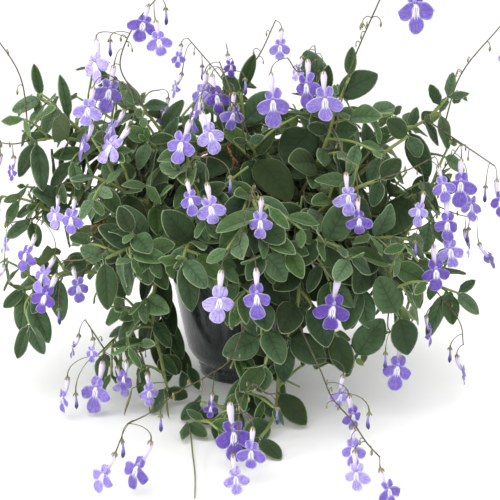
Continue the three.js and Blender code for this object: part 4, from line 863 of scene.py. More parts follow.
def add_lobe(skin, flower, rows, mirror, ahead, size, draw, tone):
    """One lobe as a thin closed sheet, folded along its middle, with a wavy margin"""
    rows = curve_points(rows, 2)
    v = LOBE_COLUMNS[None, :]
    along_lobe = np.linspace(0, 1, len(rows))[:, None]
    grow = 1 + (draw() - 0.5) * size.lobe_change * along_lobe
    middle_x, middle_y = (rows[:, 0] + rows[:, 2]) / 2, (rows[:, 1] + rows[:, 3]) / 2
    half_x, half_y = (rows[:, 2] - rows[:, 0]) / 2, (rows[:, 3] - rows[:, 1]) / 2
    x = (middle_x[:, None] + v * half_x[:, None]) * grow * mirror
    y = middle_y[:, None] + v * half_y[:, None]
    y = MOUTH[1] + (y - MOUTH[1]) * grow
    swing = (draw() - 0.5) * size.lobe_swing * along_lobe
    fold = size.lobe_fold * (draw() - 0.3) * along_lobe
    tip = size.lobe_tip * (draw() - 0.6)
    wave, waves = 6 * draw(), 5 + 4 * draw()
    half = np.hypot(half_x, half_y)[:, None]
    z = (face_height(x, y) + ahead + swing * 0.4 + fold * (np.abs(v) - 0.4) * half / 0.2
         + tip * np.clip(along_lobe - 0.55, 0, 1) ** 1.5
         + size.lobe_ruffle * v ** 2 * along_lobe * np.sin(waves * along_lobe + wave + 1.4 * np.sign(v)))
    thick = size.petal_thickness / flower.width / 2 * np.clip(1.1 - v ** 4, 0.2, 1)
    middle = stacked(x + swing * 0.3 * np.sign(mirror), y, z)
    lift = stacked(0, 0, thick)
    edge = np.minimum((1 - np.abs(v)) * half, (1 - along_lobe) * 0.5) * flower.width
    spots = stacked(x, y, tone, along_lobe, edge)
    top, under = flower.place(middle + lift), flower.place(middle - lift)
    if mirror < 0:
        top, under, spots = top[:, ::-1], under[:, ::-1], spots[:, ::-1]
    shell(skin, top, under, spots, (PETAL, PETAL_BACK))


def add_face(skin, flower, size, draw, tone):
    """The five lobes, the front one over the side ones and those over the upper ones"""
    for mirror in (1, -1):
        add_lobe(skin, flower, UPPER_LOBE, mirror, -0.035 - 0.01 * mirror, size, draw, tone)
        add_lobe(skin, flower, SIDE_LOBE, mirror, -0.004 * mirror, size, draw, tone)
    add_lobe(skin, flower, FRONT_LOBE, 1, 0.03, size, draw, tone)


def bezier(start, leave, arrive, end, steps):
    t = np.linspace(0, 1, steps + 1)[:, None]
    return ((1 - t) ** 3 * start + 3 * (1 - t) ** 2 * t * leave + 3 * (1 - t) * t ** 2 * arrive
            + t ** 3 * end)


def add_pedicel(skin, joint, top, axis, size):
    """The thread that a flower hangs by: it leaves the stalk upward and comes over into the tube"""
    reach = norm(top - joint)
    leave = joint + unit(0.5 * unit(top - joint) + 0.35 * UP) * reach * 0.35
    line = bezier(joint, leave, top + axis * reach * 0.4, top, 8)
    tube(skin, line, THREAD_WIDTHS * size.pedicel_width / 2, 5, STALK, age=0.6)


def add_sepals(skin, top, axis, size, draw):
    """Five small hairy points that hold the tube's end"""
    across = unit(np.cross(axis, vector([0.3, 0.9, 0.2])))
    start = 6 * draw()
    for k in range(5):
        out = turned(across, axis, start + k * 2 * math.pi / 5)
        far = axis * size.sepal_length
        line = [top + axis * 0.6 + out * 0.3, top - axis * 0.5 + out * 1.35, top - far * 0.6 + out * 1.75,
                top - far + out * 2.1]
        tube(skin, line, SEPAL_WIDTHS, 4, SEPAL, draw(), 0.5)


def add_flower(skin, flower, size, draw):
    tone = draw()
    add_face(skin, flower, size, draw, tone)
    line = curve_points(flower.place(TUBE_LINE), 3)
    tube(skin, line, TUBE_WIDTHS * flower.width * size.tube_width, 8, TUBE, tone, 0.5)
    axis = unit(line[-1] - line[-3])
    add_sepals(skin, flower.top, axis, size, draw)
    add_pedicel(skin, flower.joint, flower.top + axis * 0.4, axis, size)


def add_bud(skin, bud, size, draw):
    """A slim pale tube with a dark, swollen tip, hung like a flower"""
    sway = vector([draw() - 0.5, draw() - 0.5, 0]) * 2.4
    line = bezier(bud.top, bud.top - UP * 5 + sway, bud.tip + UP * 4 + sway, bud.tip, 9)
    tube(skin, line, BUD_WIDTHS, 7, BUD, draw(), 0.5)
    add_sepals(skin, bud.top, UP, size, draw)
    add_pedicel(skin, bud.joint, bud.top + UP * 0.4, UP, size)


def add_stalk(skin, line, size, draw):
    """A wiry stalk, with hooks along it that hold buds no larger than a grain"""
    tube(skin, line, STALK_WIDTHS * size.stalk_width, 6, STALK, age=0.3)
    total = length_of(line)
    for _ in range(int(total / size.bud_step)):
        base, heading = along(line, total * (0.25 + 0.7 * draw()))
        out = unit(np.cross(heading, any_way(draw)))
        reach = 3 + 5 * draw()
        end = base + out * reach - UP * reach * 0.3
        hook = bezier(base, base + out * reach * 0.5 + UP * reach * 0.5, end + UP * 2.5, end, 6)
        tube(skin, hook, 0.3, 4, STALK, age=0.3)
        grain = 0.6 + 0.5 * draw()
        tube(skin, [end + UP * 0.4, end - UP * grain, end - UP * grain * 2.4, end - UP * grain * 3.4],
             GRAIN_WIDTHS * grain, 6, SEPAL, age=0.3)


def linear(hexadecimal):
    """A colour given as sRGB hex, turned to Blender's linear values"""
    values = [int(hexadecimal[i:i + 2], 16) / 255 for i in (1, 3, 5)]
    return (*(v / 12.92 if v <= 0.04045 else ((v + 0.055) / 1.055) ** 2.4 for v in values), 1.0)


def colour_of(value):
    return linear(value) if isinstance(value, str) else value


def node(tree, kind, values=(), stops=(), **settings):
    """Adds a node and gives its outputs. Its inputs' values come in order, or by name or number: None
    leaves one as it is, and a socket feeds it. Stops are those of a colour ramp."""
    made = tree.nodes.new("ShaderNode" + kind)
    for key, value in settings.items():
        setattr(made, key, value)
    ramp = made.color_ramp.elements if stops else ()
    while len(ramp) < len(stops):
        ramp.new(0.5)
    for stop, (place, colour) in zip(ramp, stops):
        stop.position, stop.color = place, colour_of(colour)
    for key, value in values.items() if isinstance(values, dict) else enumerate(values):
        if isinstance(value, bpy.types.NodeSocket):
            tree.links.new(value, made.inputs[key])
        elif value is not None:
            made.inputs[key].default_value = colour_of(value)
    return made.outputs


# A colour mix's factor and colours among its inputs, and its colour among its outputs
MIX_INPUTS, MIX_COLOUR = (0, 6, 7), 2


def weave(tree, known, rows):
    """Adds the nodes of some rows. A row has the name of what the node gives, its kind (in capitals, that
    of a Math node), and its inputs: numbers, colours or names of what earlier nodes give."""
    for name, kind, *inputs in rows:
        values = [known[v] if isinstance(v, str) and v in known else v for v in inputs]
        if kind == "Mix":
            known[name] = node(tree, kind, dict(zip(MIX_INPUTS, values)), data_type="RGBA")[MIX_COLOUR]
        elif kind.isupper():
            known[name] = node(tree, "Math", values, operation=kind)[0]
        else:
            known[name] = node(tree, kind, values)[0]


def finish_of(name, settings):
    """A new material and its tree. The fixed settings stand on the shader's own sockets."""
    made = bpy.data.materials.new(name)
    made.use_nodes = True
    for socket, value in settings.items():
        made.node_tree.nodes["Principled BSDF"].inputs[socket].default_value = colour_of(value)
    return made, made.node_tree


def kept_numbers(tree, spot="length side tone", others=()):
    """What the points of a piece keep, by name, and their place in the object"""
    whole = node(tree, "Attribute", attribute_name="spot")["Vector"]
    known = dict(zip(spot.split(), node(tree, "SeparateXYZ", [whole])))
    for name in others:
        known[name] = node(tree, "Attribute", attribute_name=name)["Fac"]
    return {**known, "place": node(tree, "TexCoord")["Object"]}


def dress(made, colour, height=None, strength=0.0, depth=0.0):
    """Gives a material its colour, and a relief of some millimetres' depth"""
    tree = made.node_tree
    shader = tree.nodes["Principled BSDF"]
    tree.links.new(colour, shader.inputs["Base Color"])
    if height is not None:
        bump = node(tree, "Bump", {"Strength": strength, "Distance": depth * METRES, "Height": height})
        tree.links.new(bump[0], shader.inputs["Normal"])
    return made


def per_mm(size):
    """The scale that gives a texture features of about this many millimetres"""
    return 1 / (size * METRES)


def plain_finish(name, settings, stops, grain=None, detail=3.0, rough=0.5, relief=None):
    """A material whose colour runs along the piece or, with a grain in millimetres, through a noise"""
    made, tree = finish_of(name, settings)
    known = kept_numbers(tree)
    if grain:
        weave(tree, known, [("length", "TexNoise", "place", None, per_mm(grain), detail, rough)])
    colour = node(tree, "ValToRGB", [known["length"]], stops)[0]
    return dress(made, colour, known["length"], *relief) if relief else dress(made, colour)


VEIN_ROWS = len(LEAF_ROWS) - 1


def felted_leaf(name, colours, rib, halo, settings, rib_height):
    """A leaf's face or underside, with its net of veins and a rim of hairs that catch the light"""
    made, tree = finish_of(name, settings)
    known = kept_numbers(tree, "row across tone", ("age", "margin"))
    weave(tree, known, (
        ("blotch", "TexNoise", "place", None, per_mm(9), 3.0),
        # The tone carries painted shade, darker for leaves deep inside or low in the plant
        ("shade", "MULTIPLY_ADD", "tone", 0.7, -0.12),
        ("shade", "MULTIPLY_ADD", "blotch", 0.45, "shade")))
    known["old"] = node(tree, "ValToRGB", [known["shade"]], list(zip((0.1, 0.45, 0.85), colours[:3])))[0]
    known["net"] = node(tree, "TexVoronoi", {"Vector": known["place"], "Scale": per_mm(2.2)},
                        feature="DISTANCE_TO_EDGE")[0]
    weave(tree, known, (
        ("green", "Mix", "age", colours[3], "old"),
        ("side", "ABSOLUTE", "across"),
        ("turn", "MULTIPLY", "row", math.pi * VEIN_ROWS),
        ("wave", "COSINE", "turn"),
        ("vein", "MapRange", "wave", -0.2, -1.0, 0.0, 0.7),
        ("fade", "MapRange", "side", 0.95, 0.3),
        ("vein", "MULTIPLY", "vein", "fade"),
        ("middle", "MapRange", "side", 0.075, 0.025),
        ("lines", "MAXIMUM", "vein", "middle"),
        # Mixed toward the rib colour away from the margin: on the upper face this is painted shade, darker
        # toward the middle of the blade
        ("depth", "MapRange", "margin", 1.5, 8.0, 0.0, 0.3),
        ("green", "Mix", "depth", "green", rib),
        # The veins take the rib colour: on the upper face this is painted shade in the sunk veins
        ("share", "MULTIPLY", "lines", 0.5),
        ("veined", "Mix", "share", "green", rib),
        ("rim", "MapRange", "margin", 0.85, 0.35, 0.0, 0.68),
        ("skin", "Mix", "rim", "veined", halo),
        ("hairs", "TexNoise", "place", None, per_mm(0.5), 2.0),
        ("net", "MINIMUM", "net", 0.25),
        ("height", "MULTIPLY_ADD", "net", 1.2, "hairs"),
        ("height", "MULTIPLY_ADD", "lines", rib_height, "height")))
    return dress(made, known["skin"], known["height"], 0.7, 0.35)


def hairy_stem():
    """A skin that turns by its length from cork to green"""
    made, tree = finish_of("fleshy_hairy_stem", {
        "Roughness": 0.62, "IOR": 1.42, "Sheen Weight": 0.3, "Sheen Roughness": 0.4,
        "Sheen Tint": "#d8dcb0"})
    known = kept_numbers(tree)
    weave(tree, known, (
        ("cork", "TexNoise", "place", None, per_mm(3.5), 4.0),
        ("green", "MULTIPLY_ADD", "cork", 0.5, -0.22),
        ("green", "MULTIPLY_ADD", "length", 0.85, "green"),
        ("hairs", "TexNoise", "place", None, per_mm(0.45), 2.0)))
    stops = ((0.0, "#5b4a30"), (0.22, "#6d6a3c"), (0.55, "#7d8a4b"), (1.0, "#87a05a"))
    return dress(made, node(tree, "ValToRGB", [known["green"]], stops)[0], known["hairs"], 0.8, 0.3)


def make_finishes(colour):
    """Every finish of the plant, by the name that its pieces use"""
    leaf_colours = (colour.leaf_deep, colour.leaf_mid, colour.leaf_pale, colour.leaf_young)
    return {
        # Leaf upper face: living leaf, felted. Matt grey-green, with painted shade in the sunk veins and
        # toward the middle of the blade.
        "leaf": felted_leaf("felted_leaf_upper", leaf_colours, "#213319", "#a0b08c", {
            "Roughness": 0.72, "IOR": 1.42, "Sheen Weight": 0.28, "Sheen Roughness": 0.45,
            "Sheen Tint": "#d2dcb2", "Specular IOR Level": 0.35}, -1.2),
        # Leaf underside: the same leaf, paler and yellower, its veins raised.
        "under": felted_leaf("felted_leaf_underside", ("#46593a", "#566a42", "#687c50", "#6f8a44"),
                             "#7c8c62", "#a3b38c", {
            "Roughness": 0.8, "IOR": 1.42, "Sheen Weight": 0.25, "Sheen Roughness": 0.5,
            "Sheen Tint": "#dbe6c4", "Specular IOR Level": 0.3}, 1.6),
        # Stem: fleshy and hairy, olive green, brown and corky toward its foot.
        "stem": hairy_stem(),
        # Withered petal and seed pod: dry, papery plant skin, orange-brown with darker creases.
        "dry": plain_finish("dry_papery_husk", {"Roughness": 0.85, "IOR": 1.42, "Specular IOR Level": 0.3},
                            ((0.3, "#4a3522"), (0.5, "#7d5a38"), (0.75, "#a5855c")), 1.6, 4.0,
                            relief=(0.8, 0.5)),
        # Flower stalk: thin, wiry and downy, dark olive to red-brown.
        "stalk": plain_finish("wiry_flower_stalk", {
            "Roughness": 0.6, "IOR": 1.42, "Sheen Weight": 0.35, "Sheen Roughness": 0.35,
            "Sheen Tint": "#d7cfc0"}, ((0.3, "#4a3a2b"), (0.5, "#57503a"), (0.72, "#6a6b4a")), 4),
        # Petal: thin, translucent and velvety, with darker veins and a paler edge. Its face has a white
        # patch below the mouth, with a few dark lines that lead into it.
        # The petal's paler edge is painted light, where light comes through the thin margin
        "petal": petal("thin_petal_face", colour, front=True),
        "petal_back": petal("thin_petal_back", colour, front=False),
        # Corolla tube: a thin petal sheet with light behind it, nearly white, lilac toward the lobes.
        "tube": plain_finish("thin_petal_tube", {
            "Roughness": 0.5, "IOR": 1.38, "Sheen Weight": 0.2, "Sheen Tint": "#ffffff",
            "Subsurface Weight": 0.25, "Subsurface Radius": (0.002, 0.002, 0.002), "Subsurface Scale": 0.6},
            ((0.0, "#a190d4"), (0.25, "#cdbfe6"), (0.7, "#e0d6ee"), (1.0, "#d6cadf"))),
        # Bud: the closed petals, pale at the tube and ink-violet at the tip.
        "bud": plain_finish("closed_petal_bud", {
            "Roughness": 0.5, "IOR": 1.38, "Sheen Weight": 0.3, "Sheen Tint": "#cfc8ee"},
            ((0.0, "#a79fcc"), (0.45, "#8a7ec4"), (0.7, "#4a3f86"), (1.0, "#2b2454"))),
        # Sepal: tiny downy leaf point, dark green-brown.
        "sepal": plain_finish("downy_sepal", {
            "Roughness": 0.7, "IOR": 1.42, "Sheen Weight": 0.4, "Sheen Tint": "#cfd3b8"},
            ((0.0, "#8a8f55"), (1.0, "#6b5f42"))),
    }


def petal(name, colour, front):
    """A petal's face or back"""
    made, tree = finish_of(name, {
        "Roughness": 0.55, "IOR": 1.38, "Sheen Weight": 0.35, "Sheen Roughness": 0.4,
        "Sheen Tint": "#e4dcff", "Subsurface Weight": 0.2, "Subsurface Radius": (0.002, 0.002, 0.003),
        "Subsurface Scale": 0.5, "Specular IOR Level": 0.3})
    known = kept_numbers(tree, "across up tone", ["margin"])
    weave(tree, known, (
        ("fleck", "TexNoise", "place", None, per_mm(2.4), 3.0, 0.65),
        ("tone", "MULTIPLY_ADD", "fleck", 1.0, "tone"),
        ("tone", "SUBTRACT", "tone", 0.52)))
    stops = ((0.0, colour.petal_dark), (0.35, colour.petal_mid), (0.75, colour.petal_light),
             (1.0, colour.petal_pale))
    known["base"] = node(tree, "ValToRGB", [known["tone"]], stops)[0]
    weave(tree, known, (
        ("turn", "ARCTAN2", "across", "up"),
        ("fan", "MULTIPLY", "turn", 21.0),
        ("fan", "MULTIPLY_ADD", "fleck", 5.0, "fan"),
        ("fan", "SINE", "fan"),
        ("lines", "MapRange", "fan", 0.5, 1.0, 0.0, 0.4),
        ("veined", "Mix", "lines", "base", colour.petal_dark),
        # Painted light: a paler edge where light comes through the thin margin, stronger on paler petals
        ("thin", "MapRange", "tone", 0.0, 0.9, 0.2, 0.85),
        ("rim", "MapRange", "margin", 1.1, 0.2),
        ("rim", "MULTIPLY", "rim", "thin"),
        ("skin", "Mix", "rim", "veined", colour.petal_edge)))
    weave(tree, known, (
        ("side", "ABSOLUTE", "across"),
        ("below", "SUBTRACT", 0.21, "up"),
        ("narrow", "MapRange", "below", 0.0, 0.13, 0.03, 0.09),
        ("inside", "SUBTRACT", "narrow", "side"),
        ("inside", "MapRange", "inside", -0.02, 0.02),
        ("prong", "MULTIPLY", "across", 95.0),
        ("prong", "COSINE", "prong"),
        ("ragged", "MULTIPLY_ADD", "prong", 0.035, "below"),
        ("start", "MapRange", "below", -0.02, 0.03),
        ("stop", "MapRange", "ragged", 0.36, 0.27),
        ("patch", "MULTIPLY", "inside", "start"),
        ("patch", "MULTIPLY", "patch", "stop"),
        ("white", "Mix", "patch", "skin", colour.throat_white),
        ("stripe", "SUBTRACT", "side", 0.024),
        ("stripe", "ABSOLUTE", "stripe"),
        ("stripe", "MapRange", "stripe", 0.016, 0.006, 0.0, 0.8),
        ("reach", "MapRange", "below", 0.06, 0.12),
        ("stripe", "MULTIPLY", "stripe", "patch"),
        ("stripe", "MULTIPLY", "stripe", "reach"),
        ("lined", "Mix", "stripe", "white", "#4b4a5c"),
        # Painted shade: a dark spot at the mouth, where the tube opens into shade
        ("away", "SUBTRACT", "up", MOUTH[1]),
        ("away", "MULTIPLY", "away", "away"),
        ("away", "MULTIPLY_ADD", "across", "across", "away"),
        ("dark", "MapRange", "away", 0.002, 0.0006, 0.0, 0.9),
        ("skin", "Mix", "dark", "lined", "#2c2442")) if front else (
        ("skin", "Mix", 0.4, "skin", colour.petal_pale),))
    return dress(made, known["skin"])


FINISHES, PLAN = {}, {}


class Sizes:
    """The values of a group of settings, with its lengths in millimetres"""

    def __init__(self, kept_as):
        group = getattr(bpy.context.scene, kept_as)
        for name in group.__annotations__:
            length = group.bl_rna.properties[name].subtype == "DISTANCE"
            setattr(self, name, getattr(group, name) / METRES if length else getattr(group, name))


def finishes(names):
    """The materials of those names, all of them made once"""
    if not FINISHES:
        FINISHES.update(make_finishes(bpy.context.scene.primrose_colours))
    return [FINISHES[name] for name in names]


def plan():
    """The plan of the whole plant, made once and used by the stems and the sprays"""
    if not PLAN:
        PLAN.update(grow_plan())
    return PLAN


class Growth:
    """The space that leaves and flowers take up, in small cells, so that added leaves keep clear"""

    def __init__(self):
        self.taken = set()

    def cells(self, points):
        return [tuple(cell) for cell in np.floor(points.reshape(-1, 3) / CELL).tolist()]

    def take(self, points):
        self.taken.update(self.cells(points))

    def share_taken(self, points):
        cells = self.cells(points)
        return sum(cell in self.taken for cell in cells) / len(cells)


LEAF_SAMPLES = np.array([[u, v] for u in np.linspace(0.16, 1, 8) for v in np.linspace(-1, 1, 5)])
AIM = vector([6, 0, 113])
LENS_DISTANCE = 700
ELEVATION = 12
TO_LENS = vector([0, -math.cos(math.radians(ELEVATION)), math.sin(math.radians(ELEVATION))])
VIEW_FROM = AIM + LENS_DISTANCE * TO_LENS

# The plant's middle and reach, by which painted shade darkens its leaves inward
PLANT_MIDDLE = vector([0, 0, 140])
PLANT_REACH = vector([200, 150, 130])

# The free space before the pot, from its low to its high corner
POT_WINDOW = vector([[-48, -150, 16], [-16, -42, 92]])

# Where the photograph shows a gap between leaves: left, bottom, right and top on the plane through
# the middle of the plant, in millimetres from it
GAPS = [[-169, 128, -142, 155], [-218, 61, -187, 90], [-167, -92, -131, -23], [-90, -158, -58, -86],
        [34, -160, 86, -106], [178, 101, 205, 131], [128, 63, 151, 106], [169, -38, 198, -11],
        [106, -110, 128, -70], [-70, -72, -34, -38], [-61, -122, -13, -72], [5, -198, 31, -167],
        [-148, 118, -122, 142], [-160, -108, -132, -80]]


def leaf_samples(leaf, first=0):
    u, v = LEAF_SAMPLES[first:].T
    return leaf.place(u, v * np.clip(leaf_oval(u), 0.1, 1))


# Places on a flower that stand for it, in shares of its width
FACE_SPOTS = vector([[0, 0, 0], [0, -0.45, 0], [0.42, 0, 0], [-0.42, 0, 0], [0.2, 0.4, -0.1],
                     [-0.2, 0.4, -0.1], [0.2, -0.3, 0], [-0.2, -0.3, 0], [0, 0.2, 0], [0, 0.8, -0.3]])


def view_corridor(points, length):
    """Points from others toward the place of the picture, which added leaves leave free"""
    toward = VIEW_FROM - points
    toward /= norm(toward, axis=1)[:, None]
    steps = np.arange(3, length, 3)[:, None, None]
    return (points[None] + toward * steps).reshape(-1, 3)


def grow_plan():
    """Every leaf, shoot and spray of the plant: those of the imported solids, then the fill"""
    size = Sizes("primrose_leaves")
    rough = {name: axes_of(stem, SOLID_STEPS) for name, stem in STEMS.items()}
    smooth = {name: axes_of(stem, FINE_STEPS) for name, stem in STEMS.items()}
    sprays = {name: plan_spray(name, spray, rough) for name, spray in SPRAYS.items()}
    leaves, space = {}, Growth()
    for number, name in enumerate(STEMS):
        leaves[name] = solid_leaves(Solid(f"stem_{name}"), rough[name], number, SHOWN_LEAVES.get(name, []))
        for i, leaf in enumerate(leaves[name]):
            draw = drawer(number, i, 901)
            leaf.tone, leaf.age = tone_with_painted_shade(leaf.place(0.6, 0), draw), 0.75 + 0.25 * draw()
            space.take(leaf_samples(leaf))
            if leaf.shown:
                space.take(view_corridor(leaf_samples(leaf), size.leaf_window))
    bloom = Sizes("primrose_flowers")
    for number, stalks in enumerate(sprays.values()):
        for line, flowers, _ in stalks:
            space.take(line)
            for k, flower in enumerate(flowers):
                flower.loosen(bloom, drawer(number, k, 211))
                face = flower.place(FACE_SPOTS)
                space.take(face)
                space.take(flower.place(TUBE_LINE))
                if np.dot(VIEW_FROM - flower.centre, flower.facing) > 0:
                    space.take(view_corridor(face, size.flower_window))
    hung = [add_trailing(number, name, smooth[name], space) for number, name in enumerate(STEMS)]
    fill = [add_fill(number, smooth[name], space, size) for number, name in enumerate(STEMS)]
    stems = {name: (smooth[name], leaves[name] + more[0] + extra[0], more[1] + extra[1])
             for name, more, extra in zip(STEMS, fill, hung)}
    return {"stems": stems, "sprays": sprays}


def add_trailing(number, name, axes, space):
    """A stem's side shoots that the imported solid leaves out"""
    leaves, lines = [], []
    for k, (axis, start, route, rows) in enumerate(TRAILING.get(name, [])):
        first, _ = along(axes[axis], start * length_of(axes[axis]))
        line = curve_points([first, *route], 5)
        lines.append(line)
        space.take(line)
        for i, (share, *tip, width, turn) in enumerate(rows):
            base, _ = along(line, share * length_of(line))
            leaf = shown_leaf(base, vector(tip), width, turn)
            samples, draw = leaf_samples(leaf), drawer(number, k, i, 307)
            leaf.curl, leaf.fold = 0.04 + 0.12 * draw(), 0.1 + 0.35 * draw()
            leaf.offset, leaf.tone, leaf.age = 0.8, tone_with_painted_shade(samples[0], draw), 0.7 + 0.3 * draw()
            if space.share_taken(samples[10:]) < TRAIL_LIMIT:
                leaves.append(leaf)
                space.take(samples)
                space.take(view_corridor(samples, TRAIL_WINDOW))
    return leaves, lines


def tone_with_painted_shade(point, draw):
    """How light a leaf is: by chance, plus painted shade that darkens leaves deep inside or low in the plant
    """
    # Painted shade: leaves near the plant's middle or low down get a lower tone, outer leaves a higher one
    far = norm((point - PLANT_MIDDLE) / PLANT_REACH)
    low = 0.25 * float(np.clip((80 - point[2]) / 40, 0, 1))
    return 0.8 * draw() + 0.3 * float(np.clip((far - 0.45) / 0.4, 0, 1)) - 0.1 - low


def in_gaps(points):
    """Whether points fall in the places where the photograph shows no leaf"""
    away = points - AIM
    depth = LENS_DISTANCE - away @ TO_LENS
    x = away[:, 0] * LENS_DISTANCE / depth
    z = away @ np.cross(TO_LENS, [1, 0, 0]) * LENS_DISTANCE / depth
    inside = [(x > left) & (x < right) & (z > low) & (z < high) for left, low, right, high in GAPS]
    return np.mean(inside, axis=1).max()


def within_pot(point, height, radius=RIM_RADIUS):
    return point[2] < height and math.hypot(*point[:2]) < radius


def clear_of_all(leaf, space, first=0, limit=FILL_LIMIT):
    samples = leaf_samples(leaf, first)
    low, high = POT_WINDOW
    inside = ((samples > low) & (samples < high)).all(axis=1).any() or in_gaps(samples) > GAP_LIMIT
    radial = np.hypot(samples[:, 0], samples[:, 1])
    in_pot = ((radial < RIM_RADIUS + 2) & (samples[:, 2] < POT_HEIGHT + 1)).any()
    if inside or in_pot or samples[:, 2].min() <= FLOOR_GAP:
        return False
    return space.share_taken(samples) <= limit


def try_leaf(space, base, heading, offset, angle, size, draw, tries, age, first=0):
    narrow = LOW_WIDTH if base[2] < LOW_LEAF else 1.0
    for attempt in range(tries):
        leaf = draw_leaf(base, heading, offset, angle, size, draw, attempt, 1.0)
        leaf.width *= narrow
        if clear_of_all(leaf, space, first):
            leaf.tone, leaf.age = tone_with_painted_shade(base, draw), age
            space.take(leaf_samples(leaf))
            return leaf
    return None


def add_fill(number, axes, space, size):
    """A stem's further leaves, in pairs, on short side shoots and at its tips, and the shoots' lines"""
    leaves, shoots = [], []
    for axis, points in enumerate(axes):
        total = length_of(points)
        pairs = int((total - 14) / (LEAF_STEP / 2))
        for pair in range(pairs):
            distance = total - 1 - (pair + 1) * LEAF_STEP / 2
            if distance < 10:
                break
            base, heading = along(points, distance)
            if within_pot(base, POT_HEIGHT - 8):
                continue
            offset = 0.7 * stem_radius(axis, distance / total)
            for member in range(2):
                draw = drawer(number, axis, pair, member, 37)
                angle = math.pi / 2 * (pair + 1) / 2 + math.pi * member + 0.5
                wanted = LEAF_LENGTH * (0.62 + 0.38 * min(1, pair / 4)) * (0.8 + 0.3 * draw())
                leaf = try_leaf(space, base, heading, offset, angle, wanted, draw, 10, 0.6 + 0.4 * draw())
                if leaf:
                    leaves.append(leaf)
        grow_shoots(number, axis, points, total, space, size, leaves, shoots)
        grow_rosette(number, axis, points, total, space, leaves)
    return leaves, shoots


def grow_shoots(number, axis, points, total, space, size, leaves, shoots):
    """Short side shoots from the leaf joints, each with a few pairs of leaves"""
    for k in range(int((total - 20) / size.shoot_step)):
        draw = drawer(number, axis, k, 71)
        distance = total - 12 - k * size.shoot_step * (0.85 + 0.3 * draw())
        if distance < 14:
            break
        base, heading = along(points, distance)
        if within_pot(base, POT_HEIGHT + 2, RIM_RADIUS + 4):
            continue
        for _ in range(6):
            outward = unit(vector([base[0], base[1], 0]) + 0.01)
            rise = 0.35 if base[2] > 90 else 0.05
            way = unit(heading * 0.25 + outward * 0.45 + UP * rise + 1.7 * any_way(draw))
            far = size.shoot_length * (0.6 + 0.8 * draw())
            middle, end = base + way * far * 0.5 + UP * 1.5, base + way * far - UP * 0.05 * far
            line = curve_points([base, middle, end], SHOOT_STEPS)
            if line[:, 2].min() < 3 or space.share_taken(line[3:]) > SHOOT_LIMIT:
                continue
            grown = []
            for pair in range(3):
                spot, lead = along(line, length_of(line) * (1 - 0.36 * pair) - 0.5)
                for member in range(2):
                    angle = math.pi / 2 * pair + math.pi * member + draw()
                    wanted = LEAF_LENGTH * (0.5 + 0.2 * pair) * (0.8 + 0.35 * draw())
                    age = 0.35 + 0.5 * draw()
                    leaf = try_leaf(space, spot, lead, 0.7, angle, wanted, draw, 6, age, first=5)
                    if leaf:
                        grown.append(leaf)
            if len(grown) > 1:
                leaves.extend(grown)
                shoots.append(line)
                space.take(line)
                break


def grow_rosette(number, axis, points, total, space, leaves):
    """Young leaves crowded round a growing tip, the smallest still upright"""
    base, heading = along(points, total)
    for whorl in range(3):
        for member in range(2):
            draw = drawer(number, axis, whorl, member, 53)
            angle = math.pi / 2 * whorl + math.pi * member + 0.4 * draw()
            side = unit(np.cross(heading, UP + 0.01))
            lift = np.cross(side, heading)
            out = side * math.cos(angle) + lift * math.sin(angle)
            open_out = 0.9 - 0.25 * whorl
            point = unit(heading * (1 - open_out * 0.6) + out * open_out)
            normal = unit(heading - point * np.dot(heading, point))
            length = (19 - 5 * whorl) * (0.8 + 0.4 * draw())
            leaf = Leaf(base + heading * (0.5 * whorl - 1), point, normal, length, length * LEAF_SHAPE,
                        0.12 - 0.06 * whorl, 0.35, 0.4, age=0.35 - 0.15 * whorl, tone=draw())
            if clear_of_all(leaf, space, 8, ROSETTE_LIMIT):
                leaves.append(leaf)


HAIR_FACES = [[0, 1, 3], [1, 2, 3], [2, 0, 3], [0, 2, 1]]


def add_hairs(skin, line, radius, size, draw):
    """Short stiff hairs that stand off a stem all round"""
    total = length_of(line)
    for _ in range(int(total / size.hair_step)):
        base, heading = along(line, total * draw())
        if within_pot(base, SOIL_TOP + 2):
            continue
        out = unit(np.cross(heading, any_way(draw)))
        side = np.cross(heading, out) * 0.07
        start = base + out * radius * 0.9
        reach = radius + size.hair_length * (0.7 + 0.6 * draw())
        tip = base + out * reach + heading * 0.3 * (draw() - 0.3)
        foot = [start + heading * 0.08, start + side, start - side]
        skin.add([*foot, tip], (0.9, 0, 0.5, 1, 0), [HAIR_FACES], STEM)


def add_hung(skin, axes, row, widths, finish):
    """Something slim and dry on a thread from the nearest place of its stem"""
    start, end = vector(row[:3]), vector(row[3:])
    near = np.vstack(axes)
    joint = near[norm(near - start, axis=1).argmin()]
    thread = bezier(joint, joint + unit(start - joint) * 4 + UP * 3, start + UP * 3, start, 8)
    tube(skin, thread, 0.38, 5, finish, lengthwise=0.2)
    bow = unit(np.cross(end - start, vector([0.3, 0.9, 0.2]))) * 1.2
    line = bezier(start, start * 0.7 + end * 0.3 + bow, start * 0.3 + end * 0.7 - bow, end, 7)
    tube(skin, line, widths, 7, finish, lengthwise=(0.4, 0.05))


